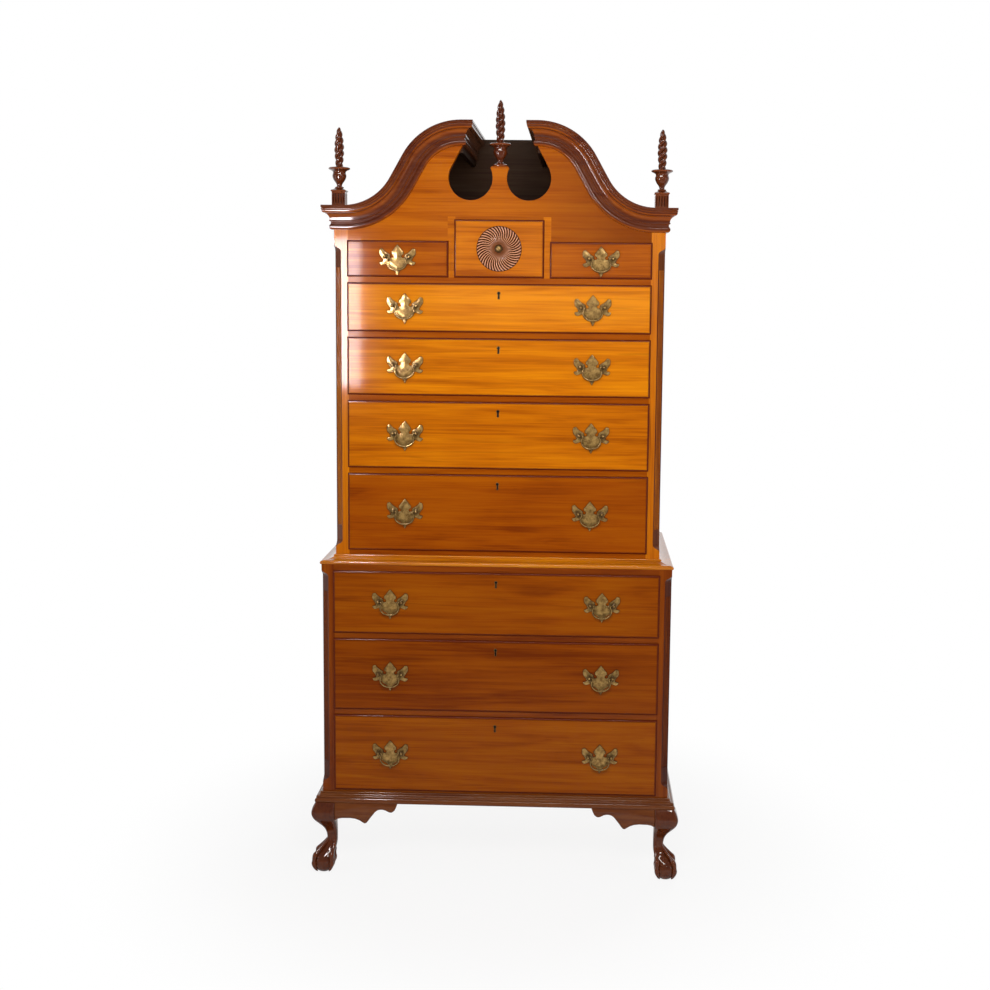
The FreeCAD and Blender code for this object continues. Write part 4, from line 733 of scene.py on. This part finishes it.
def cup(base, disc, rim):
    """The turned foot, stem, bowl and flared lip of a finial, with a disc under the middle one, and the
    height of the lip.  The bowl's profile is a smooth line through points (radius, height)."""
    foot = [(0.0005, 0), (0.019, 0), (0.0205, 0.002), (0.0205, 0.006), (0.018, 0.0078), (0.011, 0.009)]
    start = foot[-1][1] if disc else 0.0
    bowl = [
        (0.0120, 0.0), (0.0122, 0.002), (0.0085, 0.0038), (0.0074, 0.007), (0.0098, 0.0125),
        (0.0155, 0.0205), (0.0192, 0.0285), (0.0199, 0.035), (0.0182, 0.0415), (0.0190, 0.0455),
        (0.0235, 0.0485), (rim - 0.003, 0.0503),
    ]
    lip = [(rim, 0.0522), (rim, 0.0552), (rim - 0.002, 0.0572), (0.016, 0.0588), (0.0125, 0.0598)]
    upper = np.vstack([smooth_line(bowl, 66), lip, [(0.0005, 0.0602)]]) + [0, start]
    profile = np.vstack([foot, upper]) if disc else np.vstack([[(0.0005, 0)], upper])
    return turned(profile, base), start + lip[-1][1]


def square_rings(levels):
    """Level square rings with a tiny bevel at each corner, for levels (half width, height): a corner
    is two points, each at the half width on one axis and at that less the bevel on the other."""
    levels, bevel = np.asarray(levels, float), 0.0006
    half, height = levels[:, :1], levels[:, 1:]
    cut = half - bevel
    x = np.hstack([half, half, cut, -cut, -half, -half, -cut, cut])
    y = np.hstack([-cut, cut, half, half, cut, -cut, -half, -half])
    return np.stack([x, y, height + 0 * x], -1)


def fluted_plinth(half, height):
    """A square block with rounded flutes: each face is hollowed by the upper half of a wave that has
    five crests across it, left out beside the corners and fading out near both ends."""
    across = np.linspace(-1, 1, 41)[:-1]
    wave = np.sin((across * 0.5 + 0.5) * 10 * math.pi - math.pi / 2)
    edge, depth = 0.82, 0.0021
    hollow = np.clip(wave, 0, 1) ** 0.7 * (np.abs(across) < edge) * depth
    fade = np.array([0, 0, 1, 1, 1, 0, 0])
    heights = np.array([0, 0.12, 0.16, 0.5, 0.86, 0.90, 1]) * height
    out = half - hollow[None] * fade[:, None]
    face = np.stack([out, across[None] * half + 0 * out, heights[:, None] + 0 * out], -1)
    return np.hstack([quarter_turn([face], turn, (0, 0, 0))[0] for turn in range(4)])


CENTRE_PLINTH = 0.044  # height of the block that carries the middle cup
FLAME_SEAT = 0.002  # how far a flame stands in its cup
# The cap over a side plinth, as half widths and heights above the plinth's foot
SIDE_CAP = (
    (0.0195, 0.039), (0.0215, 0.0405), (0.0215, 0.0435), (0.019, 0.045), (0.0150, 0.0465),
    (0.0120, 0.0485), (0.0105, 0.051),
)


class HIGHBOY_OT_finials(Operator):
    """Turn the cups, twist the flames and flute the plinths"""

    bl_idname = "highboy.finials"
    bl_label = "Flame finials"

    def execute(self, context):
        shape = setting("finials")
        red = material("carved wood")
        for name in ("left_finial", "centre_finial", "right_finial"):
            low, high = box(name)
            middle = (low + high) / 2
            foot = np.array([middle[0], middle[1], low[2]])
            disc = name == "centre_finial"
            base = foot + [0, 0, CENTRE_PLINTH if disc else SIDE_CAP[-1][1]]
            turning, lip = cup(base, disc, shape.rim_radius)
            flame_base = base + [0, 0, lip - FLAME_SEAT]
            shells = [turning, flame(flame_base, high[2] - flame_base[2], shape)]
            if disc:
                half, thick, setback = 0.020, 0.022, 0.0315
                block = square_rings([(half, 0), (half, CENTRE_PLINTH)])
                block[:, :, 1] = (block[:, :, 1] + half) * thick / (2 * half)
                shells.append(block + [middle[0], low[1] + setback, low[2]])
            else:
                shells += [fluted_plinth(0.019, SIDE_CAP[0][1]) + foot, square_rings(SIDE_CAP) + foot]
            turning_name = name + "_turning"
            mesh = shell_mesh(turning_name, shells, 40)
            add_piece(turning_name, mesh, "case", red, [name])
        return {"FINISHED"}


def leg_shells(shape):
    """A cabriole leg at the corner (0, 0), standing out towards +x and +y.

    Its level section is a superellipse between an inner and an outer line: from the middle between
    them, half their distance times the cosine and the sine, each to the power two over the level's
    own power.  The lowest ring laps the ball as a web.  Over the web and the ball run four talons,
    each a tube on a diagonal."""
    # Height, inner line, outer line and power of the leg's levels, from its top
    levels = np.array([
        (0.215, -0.0380, 0.0200, 9), (0.209, -0.0380, 0.0240, 9), (0.199, -0.0380, 0.0288, 8),
        (0.185, -0.0380, 0.0318, 7), (0.172, -0.0380, 0.0298, 6), (0.160, -0.0380, 0.0240, 5),
        (0.148, -0.0380, 0.0145, 4.6), (0.136, -0.0380, 0.0050, 4.3), (0.124, -0.0380, -0.0022, 4),
        (0.112, -0.0380, -0.0064, 3.8), (0.100, -0.0380, -0.0082, 3.6), (0.091, -0.0380, -0.0080, 3.4),
        (0.083, -0.0378, -0.0058, 3.2), (0.075, -0.0368, -0.0008, 3), (0.067, -0.0352, 0.0070, 2.7),
        (0.060, -0.0338, 0.0155, 2.5), (0.054, -0.0328, 0.0225, 2.3), (0.0485, -0.0325, 0.0280, 2.1),
        (0.0465, -0.0318, 0.0276, 2.1), (0.0450, -0.0280, 0.0240, 2.1),
    ])
    line = smooth_line(levels, 96)[::-1]
    height, low, outer, power = (line[:, k : k + 1] for k in range(4))
    middle, half = (low + outer) / 2, (outer - low) / 2
    angle = np.linspace(0, 2 * math.pi, 64, endpoint=False)[None]
    cos, sin = np.cos(angle), np.sin(angle)
    x = middle + half * np.sign(cos) * np.abs(cos) ** (2 / power)
    y = middle + half * np.sign(sin) * np.abs(sin) ** (2 / power)
    leg = np.stack([x, y, height + 0 * angle], -1)
    radius = shape.ball_radius
    centre = np.array([-0.002, -0.002, radius - 0.003])
    fall = np.linspace(-math.pi / 2, math.pi / 2, 41)
    profile = np.stack([np.maximum(radius * np.cos(fall), 0.0002), radius * np.sin(fall)], -1)
    profile[:, 1] = np.maximum(profile[:, 1], -centre[2])
    shells = [leg, turned(profile, centre, 56)]
    # Height, distance of the diagonal's start, distance along it and share of the radius of a talon
    talon = np.array([
        (102, -23.0, 13.0, 0.30), (92, -22.5, 14.5, 0.50), (82, -19.0, 19.0, 0.62),
        (72, -13.5, 24.5, 0.66), (63, -7.5, 29.5, 0.74), (55, -3.6, 33.6, 0.98), (48, -2.2, 35.6, 0.84),
        (39, -2.0, 36.6, 0.78), (30, -2.0, 36.8, 0.98), (22, -2.0, 35.2, 0.86), (15, -2.0, 32.4, 0.66),
        (9, -2.0, 29.0, 0.48), (3.5, -2.0, 24.5, 0.22),
    ])
    points = smooth_line(talon, 72)[::-1]
    for quarter in range(4):
        direction = math.pi / 4 + quarter * math.pi / 2
        out = np.array([math.cos(direction), math.sin(direction), 0])
        spots = points[:, 1:2] * [1, 1, 0] + points[:, 2:3] * out + points[:, :1] * [0, 0, 1]
        across = np.cross(out, (0, 0, 1))
        shells.append(tube(spots * MM, shape.talon * points[:, 3], 16, across))
    return shells


class HIGHBOY_OT_feet(Operator):
    """Carve the legs, balls and claws"""

    bl_idname = "highboy.feet"
    bl_label = "Claw feet"

    def execute(self, context):
        shells = leg_shells(setting("feet"))
        red = material("carved wood")
        reach = 0.0321  # from the corner of a leg to the outermost point of its claws
        for node, corners in (
            ("front_left_foot", ((-1, -1, 2),)),
            ("front_right_foot", ((1, -1, 3),)),
            ("rear_feet", ((-1, 1, 1), (1, 1, 0))),
        ):
            low, high = box(node)
            made = []
            for across, deep, quarter in corners:
                x = (high[0] if across > 0 else low[0]) - across * reach
                y = (high[1] if deep > 0 else low[1]) - deep * reach
                made += quarter_turn(shells, quarter, (x, y, 0))
            name = node + "_carving"
            add_piece(name, shell_mesh(name, made, 50), "case", red, [node])
        return {"FINISHED"}


def bracket_shell(length):
    """A knee bracket as (along, out, up) from the leg's inner line, the case's face and its underside.

    Each ring is the section at one place: a front that bulges by a part of a sine wave of its fall,
    swells like the knee beside the leg and rolls back at its scalloped lower edge, and a flat back."""
    # The lower edge, as distances along the case and falls below it
    edge = np.array([
        (0, 56), (9, 51), (20, 49), (45, 48.5), (59, 50.3), (72, 55), (80, 60.2), (86.5, 64), (92, 62.8),
        (97, 57), (104, 47), (112, 37), (118, 29), (126, 22.8), (134, 20.6), (141, 20.5), (149, 22.6),
        (157, 27), (163, 29.2), (169, 28.6), (176, 23), (181, 13), (185, 1.0),
    ]) * MM
    along = np.linspace(0, 1, 180)[:, None]
    depth = np.interp(along * edge[-1, 0], edge[:, 0], edge[:, 1])
    falls = np.concatenate([np.linspace(0, 0.94, 14), [0.97, 0.99, 1.0]])
    down = np.concatenate([falls, [1.0, 0.5, 0.0]])[None]
    swell = 0.006 * np.exp(-((along * length / 0.045) ** 2)) * np.sin(math.pi * np.clip(down, 0, 1)) ** 0.7
    front = 0.0140 + 0.0050 * np.sin(math.pi * (0.12 + 0.72 * down)) + swell
    front = front - 0.004 * np.clip((down - 0.9) / 0.1, 0, 1) ** 2
    out = np.where(np.arange(down.size)[None] < len(falls), front, 0.0)
    up = -down * depth
    return np.stack([along * length + 0 * down, out, up], -1)


class HIGHBOY_OT_brackets(Operator):
    """Saw and round the scalloped knee brackets"""

    bl_idname = "highboy.brackets"
    bl_label = "Knee brackets"

    def execute(self, context):
        case_low, case_high = box("lower_corner_posts")
        foot_low, foot_high = box("front_right_foot")
        inner = foot_low[0]
        front_inner, rear_inner = foot_high[1], box("rear_feet")[0][1]
        shell = bracket_shell(setting("feet").bracket)
        along, out, up = shell[..., 0], shell[..., 1], shell[..., 2] + case_low[2]
        shells = []
        for side in (-1, 1):
            front = np.stack([side * (inner - along), case_low[1] - out, up], -1)
            shells.append(front if side < 0 else front[:, ::-1])
            for start, step in ((front_inner, 1), (rear_inner, -1)):
                run = np.stack([side * (case_high[0] + out), start + step * along, up], -1)
                shells.append(run if side * step > 0 else run[:, ::-1])
        red = material("level red wood")
        mesh = shell_mesh("knee_bracket_carving", shells, 35)
        add_piece("knee_bracket_carving", mesh, "case", red, ["knee_brackets"])
        return {"FINISHED"}


# The right half of a plate's edge from its top, in millimetres: one point is the end of a straight
# step, and two are the middle and the end of an arc
PLATE_EDGE = (
    ((16.5, 15),), ((17.5, 10), (13.5, 6)), ((11.5, 3.5), (20, 5)), ((27, 10),),
    ((36.5, 16.5), (43, 24)), ((50, 22.5),), ((52, 12.5), (50.5, 4.5)), ((44.5, -2.5), (41, -9)),
    ((42, -12.5),), ((51.5, -15),), ((49, -20.5), (43, -23.5)), ((29, -18.5),),
    ((22, -27), (12.5, -33)), ((7.5, -37.5),), ((0, -52.5),),
)


def arc(start, middle, end, count=15):
    """Points of the circle through three points, from the first by the middle one to the last."""
    a, b, c = complex(*start), complex(*middle), complex(*end)
    ratio = (c - a) / (b - a)
    centre = a + (b - a) * (ratio - abs(ratio) ** 2) / (2j * ratio.imag)
    first, half, last = np.angle(np.array([a, b, c]) - centre)
    turn = (last - first) % (2 * math.pi)
    if (half - first) % (2 * math.pi) > turn:
        turn -= 2 * math.pi
    spots = centre + (a - centre) * np.exp(1j * np.linspace(0, turn, count))
    return np.stack([spots.real, spots.imag], -1)


def plate_outline():
    """The edge of a bat-wing plate in millimetres, anticlockwise from the front, about the middle of
    its posts: straight steps, and arcs where a step has two points."""
    right = np.array([(0, 35.0)])
    for step in PLATE_EDGE:
        more = np.array(step) if len(step) == 1 else arc(right[-1], *step)[1:]
        right = np.vstack([right, more])
    return np.vstack([right, right[-2:0:-1] * [-1, 1]])[::-1]


def edge_distance(spots, edge):
    """How far each spot is from the nearest part of a closed edge."""
    along = np.roll(edge, -1, 0) - edge
    gap = spots[:, None] - edge
    part = np.clip((gap * along).sum(-1) / (along**2).sum(-1), 0, 1)
    return np.linalg.norm(gap - part[..., None] * along, axis=-1).min(1)


def plate_shape():
    """Points (across, out, up) of a cast plate about the middle of its posts, and its faces.  Its
    thickness at a place depends on the distance to the edge alone: a rounded rim, a groove beside it
    and a low dome."""
    edge = plate_outline()
    grid = np.stack(np.meshgrid(np.arange(-52, 53, 1.6), np.arange(-52, 36, 1.6)), -1).reshape(-1, 2)
    inner = grid[edge_distance(grid, edge) > 0.75]
    spots = [Vector(spot) for spot in np.vstack([edge, inner])]
    rim = len(edge)
    spots, _, faces, *_ = delaunay_2d_cdt(spots, [], [list(range(rim))], 1, 0.001)
    flat = np.array([tuple(spot) for spot in spots])
    away = edge_distance(flat, edge)
    rise = 1.66 + 0.75 * (1 - (1 - np.clip(away / 1.5, 0, 1)) ** 2)  # over the rim's first 1.5 mm
    rise -= 0.45 * np.exp(-(((away - 2.9) / 0.75) ** 2))
    rise += 0.7 * np.clip((away - 4) / 8, 0, 1)
    front = np.stack([flat[:, 0], -rise, flat[:, 1]], -1)
    back = np.stack([flat[:, 0], 0 * rise - 0.1, flat[:, 1]], -1)
    count = len(flat)
    faces = np.array(faces)
    here = np.arange(rim)
    after = (here + 1) % rim
    sides = np.stack([here + count, after + count, after, here], -1)
    triangles = np.vstack([faces, faces[:, ::-1] + count])
    return np.vstack([front, back]) * MM, triangles.tolist() + sides.tolist()


def keyhole_edge():
    """The edge of a keyhole: the greater part of a circle, over a foot with cut corners."""
    angle = np.radians(np.linspace(-57, 237, 21))
    bow = np.stack([3.9 * np.cos(angle), 0 * angle, 5.4 + 3.9 * np.sin(angle)], -1)
    ward = np.array([(-2.3, 0, -9.2), (-1.6, 0, -9.9), (1.6, 0, -9.9), (2.3, 0, -9.2)])
    return np.vstack([ward, bow]) * 1.08 * MM


def drawer_of(bail):
    """The drawer that carries a bail."""
    return bail.removesuffix("_bail").removesuffix("_left").removesuffix("_right") + "_drawer"


KEYHOLE_DROP = 0.033  # the middle of a keyhole below the top of its drawer


class HIGHBOY_OT_plates(Operator):
    """Round the edges of the plates over and line the keyholes"""

    bl_idname = "highboy.plates"
    bl_label = "Plates and keyholes"

    def execute(self, context):
        brass = material("rubbed brass")
        points, faces = plate_shape()
        for bail in BAILS:
            low, high = box(bail)
            drawer = drawer_of(bail)
            middle = ((low[0] + high[0]) / 2, box(drawer)[0][1], low[2] + PIN_RISE)
            name = bail.removesuffix("_bail") + "_plate_face"
            add_piece(name, smooth_mesh(name, points + middle, faces, 55), drawer, brass)
        hole = keyhole_edge()
        void_depths = np.array([0.0009, -0.0003])[:, None, None] * [0, 1, 0]
        for drawer in DRAWERS:
            if not drawer.startswith(("lower", "upper")):
                continue
            low, high = box(drawer)
            middle = np.array([(low[0] + high[0]) / 2, low[1], high[2] - KEYHOLE_DROP])
            name = drawer + "_keyhole_lining"
            lining = tube(np.vstack([hole, hole[:2]]) + middle, 0.0006, 10, (0, 1, 0))
            add_piece(name, shell_mesh(name, [lining]), drawer, brass)
            # A near-black plug in the keyhole is painted shade for the dark inside of the hole
            name = drawer + "_keyhole"
            void = shell_mesh(name, [hole + middle + void_depths], 30, True)
            add_piece(name, void, drawer, material("keyhole shade"))
        return {"FINISHED"}


def pinwheel_shell(shape):
    """The pinwheel about its centre: a thin dish whose front, at a part of its radius and an angle, lies
    as deep as the dish less its thickness and a rib.  The rib is the size of the cosine of half the
    blades times the angle less the turn, and grows from the middle to its full height near the rim."""
    wall, rib_height, lap = 0.35 * MM, 3.3 * MM, 0.2 * MM
    part = np.linspace(0.06, 1, 60)[:, None]
    angle = np.linspace(0, 2 * math.pi, shape.blades * 12, endpoint=False)[None]
    turn = shape.swirl * np.clip((part - SWIRL_START) / (1 - SWIRL_START), 0, 1) ** SWIRL_POWER
    rib = np.abs(np.cos(shape.blades * (angle - turn) / 2)) ** 0.8
    strength = np.clip((part - 0.30) / 0.35, 0, 1) ** 1.3 * np.clip((1 - part) / 0.03, 0, 1)
    hollow = np.interp(part, [0.06, 0.2, 0.45, 0.72, 0.9, 1], [0.6, 1.2, 2.3, 3.4, 2.4, 0.2]) * MM
    depth = np.maximum(hollow - wall - strength * rib * rib_height, -lap)
    reach = part * (shape.radius - lap)
    front = np.stack([reach * np.cos(angle), depth, reach * np.sin(angle)], -1)
    back = front.copy()
    back[:, :, 1] = hollow + 0.3 * MM
    return np.concatenate([front, back[::-1]])[:, ::-1]


class HIGHBOY_OT_pinwheel(Operator):
    """Carve the swirled ribs of the middle drawer"""

    bl_idname = "highboy.pinwheel"
    bl_label = "Pinwheel"

    def execute(self, context):
        low, high = box("carved_drawer")
        middle = (low + high) / 2
        rings = pinwheel_shell(setting("carving")) + [middle[0], low[1], middle[2]]
        mesh = shell_mesh("pinwheel", [rings], 60)
        add_piece("pinwheel", mesh, "carved_drawer", material("pinwheel wood"))
        return {"FINISHED"}


def bail_line():
    """The middle line of a bail about its pins and its radius there: a smooth line through points of
    its right half, their mirror on the left and the lowest point between them."""
    # Distance to the right, height and radius in millimetres, from a pin's end
    right = np.array([
        (38.0, 0, 1.35), (33.0, 0, 1.4), (28.5, 0, 1.45), (25.4, -0.3, 2.2), (23.9, -2.8, 2.35),
        (24.4, -6.4, 2.2), (26.6, -10.6, 2.1), (27.4, -16.5, 2.15), (26.0, -23.2, 2.3),
        (21.6, -29.6, 2.5), (14.2, -34.6, 2.65), (7.0, -36.8, 2.5),
    ])
    knots = np.vstack([right, [(0, -37.2, 2.4)], right[::-1] * [-1, 1, 1]])
    across, up, radius = smooth_line(knots, 150).T * MM
    return np.stack([across, 0 * across, up], -1), radius


class HIGHBOY_OT_bails(Operator):
    """Bend the bails of the pulls"""

    bl_idname = "highboy.bails"
    bl_label = "Bails"

    def execute(self, context):
        brass = material("rubbed brass")
        line, radius = bail_line()
        for bail in BAILS:
            low, high = box(bail)
            pins = [(low[0] + high[0]) / 2, (low[1] + high[1]) / 2, low[2] + PIN_RISE]
            name = bail + "_wire"
            mesh = shell_mesh(name, [tube(line + pins, radius, 14, (0, 1, 0))])
            add_piece(name, mesh, bail, brass, [bail])
        return {"FINISHED"}


def look_from(stage):
    """The camera's place and turn: forward follows yaw and pitch, and roll leans right and up."""
    forward = Vector((
        math.sin(stage.yaw) * math.cos(stage.pitch),
        math.cos(stage.yaw) * math.cos(stage.pitch),
        -math.sin(stage.pitch),
    ))
    level = Vector((math.cos(stage.yaw), -math.sin(stage.yaw), 0))
    upward = level.cross(forward)
    right = level * math.cos(stage.roll) + upward * math.sin(stage.roll)
    up = upward * math.cos(stage.roll) - level * math.sin(stage.roll)
    turn = Matrix((right, up, -forward)).transposed().to_4x4()
    return Matrix.Translation(Vector(stage.place)) @ turn


LIT, SHINE, BOTH = (True, False), (False, True), (True, True)
# Name, place, aim, width and height, watts, colour, and whether a lamp lights, shows as shine or both
LAMPS = (
    ("key box", (0.1, -2.1, 2.0), (0.05, -0.2, 1.65), (1.1, 0.9), 36, (1.0, 0.96, 0.92), LIT),
    ("fill box", (0.9, -3.6, 1.3), (0, -0.2, 0.9), (1.6, 1.6), 4, (1.0, 0.95, 0.90), LIT),
    ("left strip", (-0.565, -0.9, 1.64), (-0.565, 0, 1.64), (0.11, 0.50), 11, (1.0, 0.92, 0.95), SHINE),
    ("spark", (0.9, -2.2, 2.6), (0, 0, 1.0), (0.22, 0.34), 9, (1.0, 0.97, 0.94), SHINE),
    ("top strip", (-0.1, -1.5, 3.2), (0, -0.2, 1.8), (1.4, 0.2), 20, (1.0, 0.97, 0.94), SHINE),
    ("left side", (-2.6, -1.2, 1.2), (0, 0, 1.1), (0.3, 2.0), 9, (1.0, 0.94, 0.97), BOTH),
    ("right side", (2.6, -1.4, 1.3), (0, 0, 1.1), (0.3, 2.0), 7, (1.0, 0.94, 0.96), BOTH),
    ("rear box", (1.6, 3.2, 3.0), (0, 0, 1.2), (2.0, 2.0), 50, (1.0, 1.0, 1.0), LIT),
)


def hang_lamps():
    """A key light high at the front and a fill by the camera; a strip, a spark and a top strip that show
    as shine on the front and the brasses; tall strips that line both sides; and a box behind."""
    for name, spot, aim, size, power, colour, (lights, shines) in LAMPS:
        lamp = bpy.data.lights.new(name, "AREA")
        lamp.shape = "RECTANGLE"
        lamp.size, lamp.size_y = size
        lamp.energy = power
        lamp.color = colour
        holder = place(name, lamp)
        holder.location = spot
        holder.visible_diffuse = lights
        holder.visible_glossy = shines
        way = Vector(aim) - Vector(spot)
        holder.rotation_euler = way.to_track_quat("-Z", "Y").to_euler()


def lay_floor():
    """A pale floor that shows white to the camera, most of all away from the piece, and keeps a soft
    shadow near it.  In reflections it is white behind the piece."""
    corners = np.array([(-9, -9, -0.0005), (9, -9, -0.0005), (9, 9, -0.0005), (-9, 9, -0.0005)])
    mesh = smooth_mesh("floor", corners, [(0, 1, 2, 3)])
    nodes = new_finish("pale floor")
    mesh.materials.append(nodes.finish((0.86, 0.86, 0.86, 1), 0.8, specular=0.0))
    length = nodes.fill(nodes.add("ShaderNodeVectorMath", operation="LENGTH"), {0: nodes.position})
    away = nodes.grey(length.outputs["Value"], 0.55, 1.3)
    amount = nodes.plus(0.88, nodes.times(away, 0.12))
    behind = nodes.grey(nodes.split(nodes.position)[Y], -0.2, 0.6)
    path = nodes.add("ShaderNodeLightPath").outputs
    shiny = nodes.times(path["Is Glossy Ray"], behind)
    seen = nodes.math("MAXIMUM", path["Is Camera Ray"], shiny)
    light = nodes.add("ShaderNodeEmission").outputs[0]
    blend = nodes.add("ShaderNodeMixShader")
    nodes.fill(blend, {0: nodes.times(seen, amount), 1: nodes.shader.outputs[0], 2: light})
    nodes.put(nodes.tree.nodes["Material Output"].inputs["Surface"], blend.outputs[0])
    place("floor", mesh)


def hang_backdrop(scene):
    """A world that is white to the camera, a white wall behind the piece and a dim room before it in
    reflections, and dim as a lamp."""
    scene.world = bpy.data.worlds.new("studio")
    nodes = Nodes(scene.world, "Background", "Generated")
    wall = nodes.grey(nodes.split(nodes.position)[Y], 0.0, 0.4, "LINEAR")
    path = nodes.add("ShaderNodeLightPath").outputs
    seen = nodes.math("MAXIMUM", path["Is Camera Ray"], nodes.times(path["Is Glossy Ray"], wall))
    level = nodes.fill(nodes.add("ShaderNodeMapRange"), {"Value": seen, "To Min": 0.20, "To Max": 1.0})
    nodes.fill(nodes.shader, {"Color": (1, 1, 1, 1), "Strength": level.outputs["Result"]})


class HIGHBOY_OT_stage(Operator):
    """Set the floor, the backdrop, the lamps and the camera"""

    bl_idname = "highboy.stage"
    bl_label = "Stage"

    def execute(self, context):
        scene = context.scene
        stage = setting("stage")
        scene.view_settings.view_transform = "Standard"
        camera = place("camera", bpy.data.cameras.new("camera"))
        camera.data.lens = stage.lens
        camera.data.sensor_width = 36
        camera.data.shift_x, camera.data.shift_y = stage.shift
        camera.matrix_world = look_from(stage)
        scene.camera = camera
        hang_lamps()
        lay_floor()
        hang_backdrop(scene)
        return {"FINISHED"}


OPERATORS = (
    HIGHBOY_OT_finishes,
    HIGHBOY_OT_finials,
    HIGHBOY_OT_feet,
    HIGHBOY_OT_brackets,
    HIGHBOY_OT_plates,
    HIGHBOY_OT_pinwheel,
    HIGHBOY_OT_bails,
    HIGHBOY_OT_stage,
)


class HIGHBOY_PT_panel(Panel):
    """Lists the settings and the steps"""

    bl_idname = "HIGHBOY_PT_panel"
    bl_label = "Highboy"
    bl_space_type = "VIEW_3D"
    bl_region_type = "UI"
    bl_category = "Highboy"

    def draw(self, context):
        for name, group in SETTINGS.items():
            column = self.layout.column(align=True)
            settings = getattr(context.scene, name)
            for key in group.__annotations__:
                column.prop(settings, key)
        for operator in OPERATORS:
            self.layout.operator(operator.bl_idname)


CLASSES = (*SETTINGS.values(), *OPERATORS, HIGHBOY_PT_panel)


def register():
    for kind in CLASSES:
        bpy.utils.register_class(kind)
    for name, group in SETTINGS.items():
        setattr(bpy.types.Scene, name, PointerProperty(type=group))


def unregister():
    for name in SETTINGS:
        delattr(bpy.types.Scene, name)
    for kind in reversed(CLASSES):
        bpy.utils.unregister_class(kind)


def main():
    register()
    bpy.ops.highboy.finishes()
    bpy.ops.highboy.finials()
    bpy.ops.highboy.feet()
    bpy.ops.highboy.brackets()
    bpy.ops.highboy.plates()
    bpy.ops.highboy.pinwheel()
    bpy.ops.highboy.bails()
    bpy.ops.highboy.stage()


if __name__ == "__main__":
    main()
